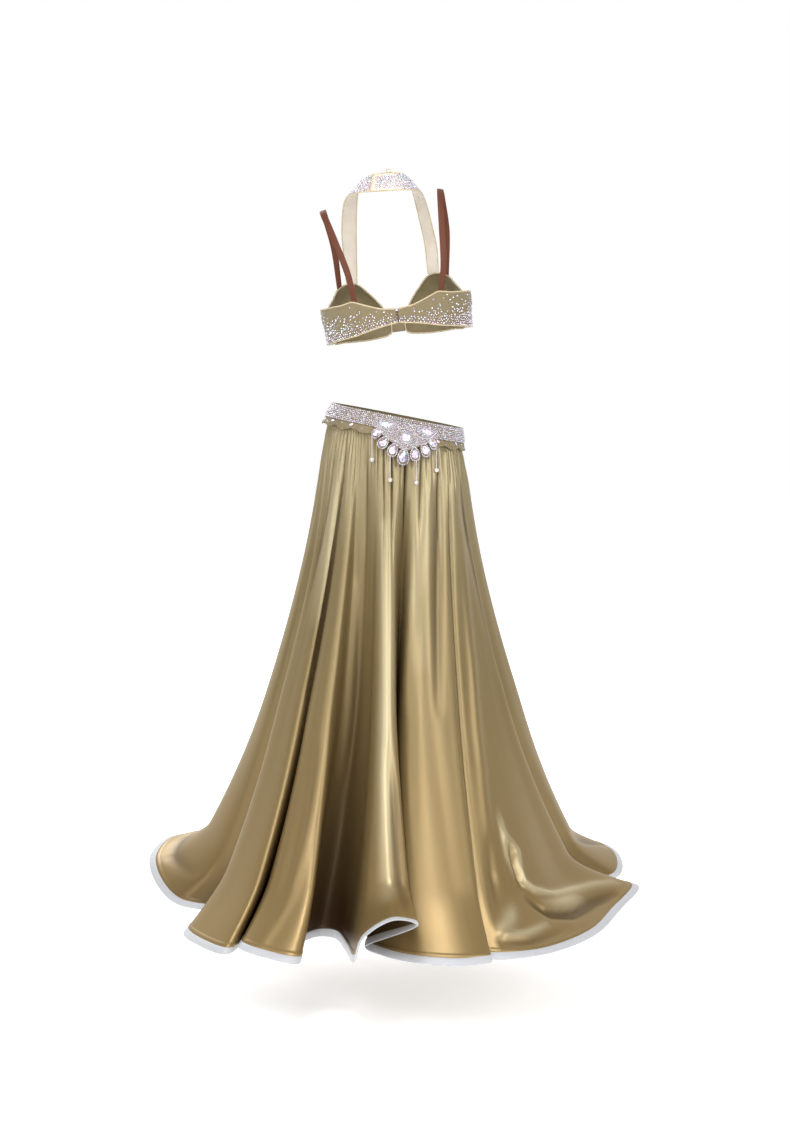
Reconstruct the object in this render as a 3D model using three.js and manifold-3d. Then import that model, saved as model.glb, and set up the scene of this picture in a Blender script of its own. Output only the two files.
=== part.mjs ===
// A two-piece belly dance costume: a halter bra top, and a flared satin skirt on a stoned hip belt.
// Millimetres, +Z up. The wearer faces -Y and stands with the left hip (+X) raised and the left
// shoulder lowered. The origin is the centre of the belt's top ring, where the hips hold the skirt.

import * as THREE from "three";
import { mergeVertices } from "three/addons/utils/BufferGeometryUtils.js";
import Module from "manifold-3d";

// Driving dimensions, in millimetres and degrees

const SEAM_GAP = 0.3; // between pieces that are sewn together
const SATIN = 1.2; // wall of the skirt

const BELT = {
  halfWidth: 117,
  halfDepth: 93,
  flareWidth: 0.33, // growth of the half width for each millimetre down
  flareDepth: 0.27,
  lean: 11, // the left side is raised
  bandDepth: 25,
  yokeDepth: 38,
  yokeWave: 2.2,
  yokeWaves: 9, // scallops round one half of the lower edge
  yokeWall: 1.4,
  bandWall: 1.8,
  columns: 36, // round one half
};

const SKIRT = {
  topWidth: 121,
  topDepth: 96,
  topDrop: 28,
  middleZ: -519, // height of the table's middle row
  bendAbove: 0.4, // how much of the flare comes late, above and below the middle row
  bendBelow: 0.32,
  hemZ: -890, // mean height of the hem
  flipLength: 100, // stretch at the hem that the stiff braid throws outwards
  columnPitch: 23, // along the hem
};

const GATHER = {
  columns: 4, // wall columns for one gather
  rootHeight: 1.2,
  height: 5,
  rootDepth: 14, // under the yoke
  fullDepth: 55, // where a gather stands out most
  fadeLength: 120,
  unevenness: 0.3,
};

const BRAID = { width: 14, wall: 3 };

// Share of the skirt's length at each row of wall points
const SKIRT_ROWS = [0, 0.03, 0.075, 0.17, 0.32, 0.5, 0.68, 0.84, 0.93, 1];

// The skirt's folds, anticlockwise from above. Each row is the crest or the valley of a fold.
// A turn is the angle from +X and out is the distance from the upright axis, at the belt, at the
// middle row and at the hem. flipOut and flipUp are what the last stretch adds at the hem.
const FOLD_COLUMNS = "beltTurn middleTurn middleOut hemTurn hemOut hemZ flipOut flipUp";
const FOLD_ROWS = [
  [-40, -40, 176, -41.5, 326, -886, 8, 0],
  [-28, -28, 208, -35.5, 432, -838, 48, 22],
  [-16, -17, 224, -26, 470, -812, 62, 34],
  [-6, -6, 236, -11, 462, -832, 50, 22],
  [8, 7, 230, 4, 398, -878, 34, 6],
  [18, 15, 200, 9, 300, -892, 10, 0],
  [23, 18, 206, 20, 332, -895, 12, 0],
  [28, 24, 232, 29.7, 420, -884, 30, 2],
  [37, 33, 231, 40, 440, -885, 30, 2],
  [45, 41.6, 226, 50.4, 446, -886, 24, 0],
  [47.5, 37.6, 191, 42.4, 354, -892, 10, 0],
  [50, 43.6, 217, 53.6, 436, -875, 26, 8],
  [53, 50, 227, 60, 438, -881, 26, 6],
  [56, 58.2, 224, 67.2, 426, -888, 20, 0],
  [60, 56, 172, 56, 300, -892, 0, 0],
  [65, 61, 150, 57.5, 250, -888, 0, 0],
  [70, 68, 158, 64, 246, -888, 0, 0],
  [74, 74, 176, 73, 298, -894, 10, 0],
  [77, 77, 196, 79.4, 388, -887, 24, 0],
  [80, 82, 213, 82.6, 432, -840, 44, 40],
  [84, 86, 214, 89, 452, -806, 56, 58],
  [89, 88.8, 204, 94.2, 430, -818, 44, 48],
  [100, 88.6, 142, 80, 305, -884, 0, 0],
  [106, 91, 176, 86, 346, -886, 8, 0],
  [110, 94, 198, 92, 378, -887, 14, 0],
  [116, 100, 212, 98.5, 400, -888, 20, 0],
  [123, 107, 217, 105, 413, -889, 22, 0],
  [131, 114, 216, 110, 414, -888, 22, 0],
  [139, 120, 214, 112.2, 410, -888, 20, 0],
  [141, 119.2, 190, 112.2, 392, -888, 14, 0],
  [143, 123.6, 204, 115.4, 404, -888, 20, 0],
  [148, 131, 207, 126, 416, -888, 34, 10],
  [153, 141, 208, 143, 414, -880, 46, 18],
  [157, 150, 212, 158, 408, -866, 56, 26],
  [161, 157, 216, 174, 427, -846, 66, 34],
  [165, 161, 200, 184, 352, -866, 16, 0],
  [171, 171, 214, 190, 412, -852, 34, 16],
  [179, 179, 222, 203, 447, -834, 50, 24],
  [187, 187, 214, 216, 459, -840, 46, 20],
  [195, 194, 182, 216, 352, -880, 10, 0],
  [201, 201, 216, 226, 436, -866, 34, 10],
  [207, 207, 213, 235, 430, -880, 26, 4],
  [214, 213, 178, 238.5, 330, -892, 0, 0],
  [220, 218, 206, 244, 424, -868, 30, 12],
  [228, 226, 208, 254, 436, -850, 42, 22],
  [236, 234.5, 170, 259, 318, -892, 0, 0],
  [242, 241, 204, 265, 420, -890, 20, 2],
  [249, 249, 205, 275, 430, -882, 26, 6],
  [257, 258.5, 166, 280.5, 322, -892, 0, 0],
  [264, 265, 200, 286, 424, -866, 34, 14],
  [272, 274, 206, 295.5, 438, -852, 46, 26],
  [280, 283, 172, 299, 318, -892, 0, 0],
  [288, 290, 206, 305, 428, -884, 24, 4],
  [298, 300, 214, 314, 436, -880, 30, 8],
];

// Each gore starts at a fold, counted down the table, and ends where the next one starts.
const GORES = [
  { name: "left", firstFold: 0 },
  { name: "back_left", firstFold: 5 },
  { name: "back", firstFold: 15 },
  { name: "right", firstFold: 30 },
  { name: "front_right", firstFold: 39 },
  { name: "front_left", firstFold: 47 },
];

// The motif at the centre back of the belt, measured along the belt (across) and down from its top.
const MOTIF = {
  across: -24, // its middle, from the middle of the back
  halfWidth: 70,
  top: 7,
  sideDepth: 24, // of the plate's lower edge at its sides and at its middle
  middleDepth: 58,
  plate: 1.5,
  columns: 14,
  rows: 3,
  stoneSides: 10,
  girdle: 1.6,
  stoneHeight: 4,
};

// Raised stones of one side of the motif, then those on its middle line
const MOTIF_STONES = [
  { name: "tip", across: 0, down: 66, long: 28, wide: 20, turn: 0 },
  { name: "lower", across: 21, down: 58, long: 23, wide: 17, turn: 14 },
  { name: "rim", across: 41, down: 48, long: 23, wide: 17, turn: 28 },
  { name: "outer", across: 57, down: 34, long: 22, wide: 15, turn: 44 },
  { name: "upper", across: 44, down: 17, long: 28, wide: 12, turn: 78 },
  { name: "middle", across: 0, down: 33, long: 19, wide: 20, turn: 0 },
];

// Bead strands, each hung from the tip of a stone of the motif
const DROP = { strand: 3, pearl: 8.4, sides: 8, pearlRings: 4, off: 3.6, below: 0.4 };
const DROPS = [
  { stone: "outer", side: 1, length: 45 },
  { stone: "lower", side: 1, length: 46 },
  { stone: "lower", side: -1, length: 42 },
  { stone: "outer", side: -1, length: 42 },
];

// The bra sits round the ribs. Its ring leans the other way, round its own centre.
const RIBS = {
  centreZ: 175,
  lean: -7.2,
  halfWidth: 129,
  backDepth: 95,
  frontDepth: 106,
  spread: 5, // added at the band's upper edge
  wall: 2,
  sideAngle: 112, // from the centre back to the cup's side seam
};

// Upper and lower edges of the back band, by the angle from the centre back
const WING_EDGES = [
  { angle: 0, upper: 188, lower: 165 },
  { angle: 12, upper: 191, lower: 161 },
  { angle: 24, upper: 201, lower: 156 },
  { angle: 34, upper: 210, lower: 151 },
  { angle: 46, upper: 206, lower: 148 },
  { angle: 66, upper: 205, lower: 144 },
  { angle: 90, upper: 205, lower: 142 },
  { angle: 112, upper: 203, lower: 143 },
];
const WING = { columns: 24, rows: 2 };

// Edge of the left cup, from its side seam round the top; the right cup is its mirror image.
// A strap and the halter are sewn to the stretches between the rows that name them.
const CUP_EDGE = [
  { x: 112, y: -78, z: 226 },
  { x: 103, y: -90, z: 240, seat: "strap outer" },
  { x: 94, y: -97, z: 246, seat: "strap inner" },
  { x: 85, y: -103, z: 249, seat: "halter outer" },
  { x: 66, y: -110, z: 247, seat: "halter inner" },
  { x: 50, y: -113, z: 232 },
  { x: 30, y: -114, z: 208 },
  { x: 17, y: -112, z: 186 },
  { x: 12, y: -109, z: 168 },
  { x: 14, y: -106, z: 149 },
  { x: 44, y: -101, z: 142 },
  { x: 76, y: -88, z: 141 },
  { x: 102, y: -66, z: 142 },
];
const CUP = {
  columns: 28,
  rings: 5,
  height: 47, // of the dome over its edge
  fullness: 2.3,
  wall: 3,
  outX: 0.3, // the way it faces, for 1 forwards
  outZ: 0.08,
  seamAngle: 1.1, // from the wing to the middle of the cup's edge, in degrees round the ribs
};
const BRIDGE = { halfWidth: 11.5, upper: 188, lower: 151, y: -108.5, wall: 2 };
const CLASP = { width: 4, height: 15, wall: 1.6, z: 174 };

// Shoulder straps, between the back band and the cup: the outer edge (x y z), and the way across to
// the inner edge (dx dy dz)
const STRAP = { wall: 1.5, columns: 22, width: 11, tucked: 9, wingGap: 0.6, rimGap: 0.85 };
const STRAPS = {
  left: {
    wingAngle: 35.5, // of its outer edge, on the back band
    stations: [
      { x: 92, y: 86, z: 245, dx: -11, dy: 2, dz: 2 },
      { x: 117, y: 62, z: 308, dx: -11, dy: 3, dz: 3 },
      { x: 136, y: 28, z: 352, dx: -11, dy: 2, dz: 4 },
      { x: 139, y: -8, z: 362, dx: -11, dy: -1, dz: 4 },
      { x: 133, y: -44, z: 344, dx: -11, dy: -3, dz: 2 },
      { x: 121, y: -74, z: 300, dx: -11, dy: -4, dz: 1 },
    ],
  },
  right: {
    wingAngle: 40,
    stations: [
      { x: -86, y: 84, z: 262, dx: 11, dy: 1.6, dz: 0 },
      { x: -83, y: 66, z: 335, dx: 11, dy: 1, dz: 1 },
      { x: -81, y: 32, z: 388, dx: 11, dy: 1, dz: 2 },
      { x: -82, y: -4, z: 401, dx: 11, dy: 0, dz: 2 },
      { x: -87, y: -42, z: 382, dx: 11, dy: -1, dz: 2 },
      { x: -95, y: -74, z: 332, dx: 11, dy: -2, dz: 1 },
    ],
  },
};

// The halter: the nape band's upper edge, and the way down to its lower edge
const HALTER = { wall: 1.5, columns: 26, rimGap: 1.15 };
const HALTERS = {
  left: [
    { x: 16, y: 41, z: 426, dx: 0, dy: 7, dz: -30 },
    { x: 36, y: 37, z: 425, dx: 6, dy: 9, dz: -30 },
    { x: 56, y: 24, z: 421, dx: 16, dy: 9, dz: -28 },
    { x: 68, y: -4, z: 409, dx: 24, dy: 5, dz: -24 },
    { x: 73, y: -38, z: 380, dx: 26, dy: -1, dz: -20 },
    { x: 75, y: -72, z: 338, dx: 26, dy: -4, dz: -15 },
    { x: 75, y: -98, z: 294, dx: 23, dy: 1, dz: -7 },
  ],
  right: [
    { x: 43, y: 39.6, z: 425, dx: 7, dy: 9.6, dz: -30 },
    { x: 18, y: 45.4, z: 427, dx: -1, dy: 7.6, dz: -31 },
    { x: -6, y: 35, z: 427, dx: -12, dy: 9, dz: -29 },
    { x: -18, y: 8, z: 422, dx: -21, dy: 6, dz: -24 },
    { x: -27, y: -28, z: 400, dx: -24, dy: 0, dz: -20 },
    { x: -39, y: -66, z: 356, dx: -24, dy: -4, dz: -15 },
    { x: -50, y: -96, z: 310, dx: -22, dy: 1, dz: -7 },
  ],
};
const LOOP = { width: 11, height: 7, wall: 1.6, x: 16, y: 46.4, z: 430.9, sides: 7 };

// Angles, vectors and tables

const radians = THREE.MathUtils.degToRad;
const lerp = THREE.MathUtils.lerp;
const clamp = THREE.MathUtils.clamp;

/** Point at a turn and a distance from the upright axis. */
function polar(turn, out, z) {
  return new THREE.Vector3(out * Math.cos(radians(turn)), out * Math.sin(radians(turn)), z);
}

/** Turns a point about the Y axis through (0, 0, centreZ), so that +X goes up. */
function leaned(point, angle, centreZ = 0) {
  return point
    .setZ(point.z - centreZ)
    .applyAxisAngle(new THREE.Vector3(0, -1, 0), radians(angle))
    .setZ(point.z + centreZ);
}

/** Rows of a table as objects with the column's names. */
function tableOf(columns, rows) {
  const names = columns.split(" ");
  return rows.map((row) => Object.fromEntries(row.map((value, i) => [names[i], value])));
}

/** Value of a column of a table at a place along another column, in straight lines. */
function lookUp(table, along, column, place) {
  const last = table.findIndex((row) => row[along] >= place);
  const b = last < 0 ? table.length - 1 : Math.max(last, 1);
  const [from, to] = [table[b - 1], table[b]];
  const share = clamp((place - from[along]) / (to[along] - from[along]), 0, 1);
  return lerp(from[column], to[column], share);
}

/** Smooth step from 0 to 1. */
function smooth(share) {
  const s = clamp(share, 0, 1);
  return s * s * (3 - 2 * s);
}

/** Closed smooth curve through points, with sharper turns where the points lie close. */
function closedCurve(points) {
  const count = points.length;
  const at = (i) => points[((i % count) + count) % count];
  const span = (from, to) => Math.sqrt(Math.max(from.distanceTo(to), 1e-3));
  return (place) => {
    const first = Math.floor(place);
    const share = place - first;
    const [a, b, c, d] = [at(first - 1), at(first), at(first + 1), at(first + 2)];
    const [ab, bc, cd] = [span(a, b), span(b, c), span(c, d)];
    const startSlope = slope(a, b, c, ab, bc).multiplyScalar(bc);
    const endSlope = slope(b, c, d, bc, cd).multiplyScalar(bc);
    const s2 = share * share;
    const s3 = s2 * share;
    return new THREE.Vector3()
      .addScaledVector(b, 2 * s3 - 3 * s2 + 1)
      .addScaledVector(startSlope, s3 - 2 * s2 + share)
      .addScaledVector(c, 3 * s2 - 2 * s3)
      .addScaledVector(endSlope, s3 - s2);
  };
}

/** Slope of a curve at its middle point of three, for the given spans between them. */
function slope(before, middle, after, spanBefore, spanAfter) {
  return middle
    .clone()
    .sub(before)
    .divideScalar(spanBefore)
    .sub(after.clone().sub(before).divideScalar(spanBefore + spanAfter))
    .add(after.clone().sub(middle).divideScalar(spanAfter));
}

// Closed solids from grids of points

/** Geometry with its faces turned outwards. */
function solidOf(points, triangles) {
  const volume = triangles.reduce((sum, [a, b, c]) => {
    const normal = new THREE.Vector3().crossVectors(points[b], points[c]);
    return sum + points[a].dot(normal);
  }, 0);
  const faces = volume > 0 ? triangles : triangles.map(([a, b, c]) => [a, c, b]);
  const geometry = new THREE.BufferGeometry().setFromPoints(points);
  geometry.setIndex(faces.flat());
  geometry.computeVertexNormals();
  return geometry;
}

/** Wall between two grids of points, each a list of rows. A ring has no side edges. */
function wall(outer, inner, isRing = false) {
  const rows = outer.length;
  const columns = outer[0].length;
  const points = [...outer.flat(), ...inner.flat()];
  const outside = (row, column) => row * columns + (column % columns);
  const inside = (row, column) => rows * columns + outside(row, column);
  const triangles = [];
  const quad = (a, b, c, d) => triangles.push([a, b, c], [a, c, d]);
  const lastColumn = isRing ? columns : columns - 1;
  for (let column = 0; column < lastColumn; column += 1) {
    for (let row = 0; row < rows - 1; row += 1) {
      quad(
        outside(row, column),
        outside(row + 1, column),
        outside(row + 1, column + 1),
        outside(row, column + 1),
      );
      quad(
        inside(row, column),
        inside(row, column + 1),
        inside(row + 1, column + 1),
        inside(row + 1, column),
      );
    }
    const end = rows - 1;
    quad(outside(0, column), outside(0, column + 1), inside(0, column + 1), inside(0, column));
    quad(outside(end, column), inside(end, column), inside(end, column + 1), outside(end, column + 1));
  }
  if (!isRing) {
    for (let row = 0; row < rows - 1; row += 1) {
      const end = columns - 1;
      quad(outside(row, 0), inside(row, 0), inside(row + 1, 0), outside(row + 1, 0));
      quad(outside(row, end), outside(row + 1, end), inside(row + 1, end), inside(row, end));
    }
  }
  return solidOf(points, triangles);
}

/** Grid of points from a function of the row and the column. */
function grid(rows, columns, pointAt) {
  return Array.from({ length: rows }, (_, row) =>
    Array.from({ length: columns }, (_, column) => pointAt(row, column)),
  );
}

/** Strip along a table of edge points, with a wall centred on its surface. */
function strip(stations, thickness, columns) {
  const edge = (reach) =>
    new THREE.CatmullRomCurve3(
      stations.map(
        (s) => new THREE.Vector3(s.x + reach * s.dx, s.y + reach * s.dy, s.z + reach * s.dz),
      ),
      false,
      "centripetal",
    );
  const edges = [edge(0), edge(1)];
  const side = (offset) =>
    grid(2, columns + 1, (row, column) => {
      const share = column / columns;
      const along = edges[row].getTangent(share);
      const across = edges[1].getPoint(share).sub(edges[0].getPoint(share));
      const normal = new THREE.Vector3().crossVectors(along, across).normalize();
      return edges[row].getPoint(share).addScaledVector(normal, offset);
    });
  return wall(side(thickness / 2), side(-thickness / 2));
}

// Skirt

const folds = tableOf(FOLD_COLUMNS, FOLD_ROWS);
const beltLine = closedCurve(
  folds.map((fold) => {
    const turn = radians(fold.beltTurn);
    const point = new THREE.Vector3(Math.cos(turn), Math.sin(turn), 0);
    point.multiply(new THREE.Vector3(SKIRT.topWidth, SKIRT.topDepth, 0));
    return leaned(point.setZ(-SKIRT.topDrop), BELT.lean);
  }),
);
const middleLine = closedCurve(
  folds.map((fold) => polar(fold.middleTurn, fold.middleOut, SKIRT.middleZ)),
);
const hemLine = closedCurve(folds.map((fold) => polar(fold.hemTurn, fold.hemOut, fold.hemZ)));
const flipLine = closedCurve(
  folds.map((fold) => polar(fold.hemTurn, fold.flipOut, fold.flipUp)),
);

const skirtLength = -SKIRT.hemZ - SKIRT.topDrop;
const middleShare = (-SKIRT.middleZ - SKIRT.topDrop) / skirtLength;
const flipShare = 1 - SKIRT.flipLength / skirtLength;

/** How far the skirt has gone from one line to the next, at a share of the way. */
function eased(share, bend) {
  return (1 - bend) * share + bend * share * share;
}

/** Point of the skirt's outside at a place in the fold table and a share of its length. */
function clothPoint(place, share) {
  const top = beltLine(place);
  const middle = middleLine(place);
  const flip = flipLine(place);
  const hem = hemLine(place).sub(flip);
  const point = new THREE.Vector3();
  if (share < middleShare) {
    point.lerpVectors(top, middle, eased(share / middleShare, SKIRT.bendAbove));
  } else {
    const below = (share - middleShare) / (1 - middleShare);
    point.lerpVectors(middle, hem, eased(below, SKIRT.bendBelow));
  }
  point.z = lerp(top.z, hem.z, share);
  const thrown = Math.max(0, (share - flipShare) / (1 - flipShare));
  return point.addScaledVector(flip, thrown * thrown * (1.6 - 0.6 * thrown));
}

/** Height of a gather at a depth below the skirt's top edge. */
function gatherHeight(depth) {
  const grown = smooth((depth - GATHER.rootDepth) / (GATHER.fullDepth - GATHER.rootDepth));
  const faded = Math.exp(-Math.max(0, depth - GATHER.fullDepth) / GATHER.fadeLength);
  return lerp(GATHER.rootHeight, GATHER.height, grown) * faded;
}

/** Outside of the skirt with its gathers: wave counts gathers from the gore's first seam. */
function skirtPoint(place, share, wave) {
  const point = clothPoint(place, share);
  const outward = new THREE.Vector3(point.x, point.y, 0).normalize();
  const uneven = 1 - GATHER.unevenness * (0.5 + 0.5 * Math.sin(wave * 2.4 + place));
  const height = gatherHeight(share * skirtLength) * uneven * Math.sin(2 * Math.PI * wave);
  return point.addScaledVector(outward, height);
}

/** Places in the fold table that lie an even distance apart along a gore's hem. */
function goreColumns(gore, index) {
  const firstFold = gore.firstFold;
  const endFold = index + 1 < GORES.length ? GORES[index + 1].firstFold : folds.length;
  const stepsPerFold = 40;
  const travel = [0];
  let last = hemLine(firstFold);
  for (let step = 1; step <= (endFold - firstFold) * stepsPerFold; step += 1) {
    const next = hemLine(firstFold + step / stepsPerFold);
    travel.push(travel.at(-1) + next.distanceTo(last));
    last = next;
  }
  const pitch = SKIRT.columnPitch * GATHER.columns;
  const count = Math.round(travel.at(-1) / pitch) * GATHER.columns;
  return Array.from({ length: count + 1 }, (_, column) => {
    const wanted = (travel.at(-1) * column) / count;
    const step = clamp(travel.findIndex((distance) => distance >= wanted), 1, travel.length - 1);
    const share = (wanted - travel[step - 1]) / (travel[step] - travel[step - 1]);
    return { place: firstFold + (step - 1 + share) / stepsPerFold, wave: column / GATHER.columns };
  });
}

/** Point, outward normal and way along the hem and down, anywhere on the skirt. */
function skirtFrame(column, share) {
  const small = 0.02;
  const wide = small * 3;
  const point = skirtPoint(column.place, share, column.wave);
  const along = clothPoint(column.place + wide, share)
    .sub(clothPoint(column.place - wide, share))
    .normalize();
  const lower = Math.min(1, share + small);
  const down = clothPoint(column.place, lower)
    .sub(clothPoint(column.place, lower - small))
    .normalize();
  const normal = new THREE.Vector3().crossVectors(down, along).normalize();
  return { point, along, down, normal };
}

/** Moves the points of a gore's first and last columns in from the seam. */
function clearOfSeam(frame, column, columns) {
  const towards = (column === 0 ? 1 : 0) - (column === columns - 1 ? 1 : 0);
  frame.point.addScaledVector(frame.along, (towards * SEAM_GAP) / 2);
  return frame;
}

/** One gore of satin. */
function gore(columns) {
  const frames = grid(SKIRT_ROWS.length, columns.length, (row, column) =>
    clearOfSeam(skirtFrame(columns[column], SKIRT_ROWS[row]), column, columns.length),
  );
  const outer = frames.map((row) => row.map((frame) => frame.point));
  const inner = frames.map((row) =>
    row.map((frame) => frame.point.clone().addScaledVector(frame.normal, -SATIN)),
  );
  return wall(outer, inner);
}

/** The stiff braid that goes on past a gore's hem, as thick as the cloth there and fuller below. */
function braid(columns) {
  const face = (side) =>
    grid(2, columns.length, (row, column) => {
      const frame = clearOfSeam(skirtFrame(columns[column], 1), column, columns.length);
      const [reach, thickness] = row === 0 ? [SEAM_GAP, SATIN] : [BRAID.width, BRAID.wall];
      return frame.point
        .addScaledVector(frame.down, reach)
        .addScaledVector(frame.normal, (side * thickness - SATIN) / 2);
    });
  return wall(face(1), face(-1));
}

// Belt

/** Point of the belt at a turn from +X, a depth below its top ring and a distance off the body. */
function beltPoint(turn, depth, off) {
  const width = BELT.halfWidth + BELT.flareWidth * depth + off;
  const length = BELT.halfDepth + BELT.flareDepth * depth + off;
  const angle = radians(turn);
  const point = new THREE.Vector3(width * Math.cos(angle), length * Math.sin(angle), -depth);
  return leaned(point, BELT.lean);
}

/** Half of the belt between two depths. The lower edge may be scalloped. */
function beltHalf(firstTurn, depth, wave, base, thickness) {
  const seam = 0.08; // degrees, for half of the gap between the two halves
  const side = (off) =>
    grid(2, BELT.columns + 1, (row, column) => {
      const share = column / BELT.columns;
      const turn = firstTurn + lerp(seam, 180 - seam, share);
      const lower = depth + wave * Math.sin(2 * Math.PI * BELT.yokeWaves * share);
      return beltPoint(turn, lower * row, off);
    });
  return wall(side(base + thickness), side(base));
}

const bandBase = BELT.yokeWall + SEAM_GAP;
const motifBase = bandBase + BELT.bandWall + SEAM_GAP;

/** Turns a flat point of the motif, lying across, down and off the belt, on to its surface. */
function motifPoint(flat) {
  const backRadius = (BELT.halfWidth * BELT.halfWidth) / BELT.halfDepth;
  const turn = 90 - THREE.MathUtils.radToDeg((MOTIF.across + flat.x) / backRadius);
  return beltPoint(turn, -flat.y, motifBase + flat.z);
}

/** The flat plate under the stones, in rows and columns so that it can bend. */
function motifPlate() {
  const side = (height) =>
    grid(MOTIF.rows + 1, MOTIF.columns + 1, (row, column) => {
      const share = (2 * column) / MOTIF.columns - 1;
      const lower = lerp(MOTIF.middleDepth, MOTIF.sideDepth, Math.abs(share));
      const down = lerp(MOTIF.top, lower, row / MOTIF.rows);
      return new THREE.Vector3(share * MOTIF.halfWidth, -down, height);
    });
  return wall(side(MOTIF.plate), side(0));
}

/** Moves a point of an upright stone to the stone's place in the flat motif. */
function setStone(point, stone, side) {
  return point
    .applyAxisAngle(new THREE.Vector3(0, 0, 1), radians(side * stone.turn))
    .add(new THREE.Vector3(side * stone.across, -stone.down, 0));
}

/** A cut stone: an outline with a narrow upper end, a bevel and a flat table. */
function motifStone(stone, side) {
  const ring = (scale, height) =>
    Array.from({ length: MOTIF.stoneSides }, (_, i) => {
      const angle = (2 * Math.PI * (i + 0.5)) / MOTIF.stoneSides;
      const taper = 1 - 0.25 * Math.sin(angle);
      return new THREE.Vector3(
        (Math.cos(angle) * stone.wide * scale * taper) / 2,
        (Math.sin(angle) * stone.long * scale) / 2,
        height,
      );
    });
  const rings = [ring(0.02, 0), ring(1, 0), ring(1, MOTIF.girdle), ring(0.62, MOTIF.stoneHeight)];
  rings.push(ring(0.02, MOTIF.stoneHeight));
  const points = rings.flat().map((point) => setStone(point, stone, side));
  const triangles = [];
  const sides = MOTIF.stoneSides;
  for (let r = 0; r < rings.length - 1; r += 1) {
    for (let i = 0; i < sides; i += 1) {
      const next = (i + 1) % sides;
      triangles.push([r * sides + i, r * sides + next, (r + 1) * sides + next]);
      triangles.push([r * sides + i, (r + 1) * sides + next, (r + 1) * sides + i]);
    }
  }
  const cap = (start, isTop) => {
    for (let i = 1; i < sides - 1; i += 1) {
      triangles.push(isTop ? [start, start + i, start + i + 1] : [start, start + i + 1, start + i]);
    }
  };
  cap(0, false);
  cap((rings.length - 1) * sides, true);
  return solidOf(points, triangles);
}

const wasm = await Module();
wasm.setup();

/** A closed geometry as a solid that can be joined to others. */
function joinable(geometry) {
  const bare = geometry.clone();
  bare.deleteAttribute("normal");
  bare.deleteAttribute("uv");
  const merged = mergeVertices(bare, 1e-4);
  return new wasm.Manifold(
    new wasm.Mesh({
      numProp: 3,
      vertProperties: new Float32Array(merged.attributes.position.array),
      triVerts: new Uint32Array(merged.index.array),
    }),
  );
}

/** The plate and its stones as one solid, bent on to the belt. */
function motif() {
  let joined = joinable(motifPlate());
  for (const stone of MOTIF_STONES) {
    for (const side of stone.across === 0 ? [1] : [1, -1]) {
      joined = joined.add(joinable(motifStone(stone, side)));
    }
  }
  const mesh = joined.getMesh();
  const points = [];
  for (let i = 0; i < mesh.vertProperties.length; i += mesh.numProp) {
    points.push(motifPoint(new THREE.Vector3().fromArray(mesh.vertProperties, i)));
  }
  const triangles = [];
  for (let i = 0; i < mesh.triVerts.length; i += 3) {
    triangles.push([...mesh.triVerts.slice(i, i + 3)]);
  }
  return solidOf(points, triangles);
}

/** A bead strand with its pearl, as one turned solid that stands on its lowest point. */
function beadDrop(length) {
  const strand = DROP.strand / 2;
  const pearl = DROP.pearl / 2;
  const neck = Math.sqrt(pearl * pearl - strand * strand);
  const profile = [new THREE.Vector2(0, length), new THREE.Vector2(strand, length)];
  for (let i = 0; i <= DROP.pearlRings; i += 1) {
    const angle = lerp(Math.asin(neck / pearl), -Math.PI / 2, i / DROP.pearlRings);
    const radius = i === DROP.pearlRings ? 0 : pearl * Math.cos(angle);
    profile.push(new THREE.Vector2(radius, pearl + pearl * Math.sin(angle)));
  }
  const geometry = new THREE.LatheGeometry(profile.reverse(), DROP.sides);
  geometry.rotateX(Math.PI / 2);
  return geometry;
}

// Bra top

/** Point of the rib ring at an angle from the centre back, towards the left (+1) or right. */
function ribPoint(angle, side, z, off) {
  const rise = smooth((z - RIBS.centreZ + 30) / 60);
  const width = RIBS.halfWidth + RIBS.spread * rise + off;
  const depth = angle < 90 ? RIBS.backDepth : RIBS.frontDepth;
  const length = depth + RIBS.spread * rise + off;
  const turn = radians(angle);
  const point = new THREE.Vector3(side * width * Math.sin(turn), length * Math.cos(turn), z);
  return leaned(point, RIBS.lean, RIBS.centreZ);
}

/** Half of the back band, from the clasp to the cup's side seam. */
function wing(side) {
  const gapAngle = 0.07; // degrees, for half of the seam gap
  const face = (off) =>
    grid(WING.rows + 1, WING.columns + 1, (row, column) => {
      const angle = lerp(gapAngle, RIBS.sideAngle - gapAngle, column / WING.columns);
      const upper = lookUp(WING_EDGES, "angle", "upper", angle);
      const lower = lookUp(WING_EDGES, "angle", "lower", angle);
      return ribPoint(angle, side, lerp(upper, lower, row / WING.rows), off);
    });
  return wall(face(RIBS.wall), face(0));
}

/** Point of the cup's edge that is a seat for the end of a strap, on the left or the right. */
function cupSeat(side, seat, gap) {
  const { x, y, z } = CUP_EDGE.find((row) => row.seat === seat);
  const point = leaned(new THREE.Vector3(side * x, y, z), RIBS.lean, RIBS.centreZ);
  return point.setZ(point.z + gap);
}

/** A row for a strip's table, from a point of each of its edges. */
function stationBetween(first, second) {
  const { x, y, z } = first;
  return { x, y, z, dx: second.x - x, dy: second.y - y, dz: second.z - z };
}

/** Rows for a shoulder strap: tucked in behind the wing, over the shoulder and down to the cup. */
function strapStations(side, { wingAngle, stations }) {
  const widthAngle = THREE.MathUtils.radToDeg(STRAP.width / RIBS.halfWidth);
  const under = -(STRAP.wingGap + STRAP.wall / 2);
  const wingEdge = (angle, above) => {
    const z = lookUp(WING_EDGES, "angle", "upper", angle) + above;
    return ribPoint(angle, side, z, under);
  };
  const wingStation = (above) =>
    stationBetween(wingEdge(wingAngle, above), wingEdge(wingAngle - widthAngle, above));
  const [outer, inner] = ["strap outer", "strap inner"].map((seat) =>
    cupSeat(side, seat, STRAP.rimGap),
  );
  const cupStation = stationBetween(outer, inner);
  return [wingStation(-STRAP.tucked), wingStation(0), ...stations, cupStation];
}

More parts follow.
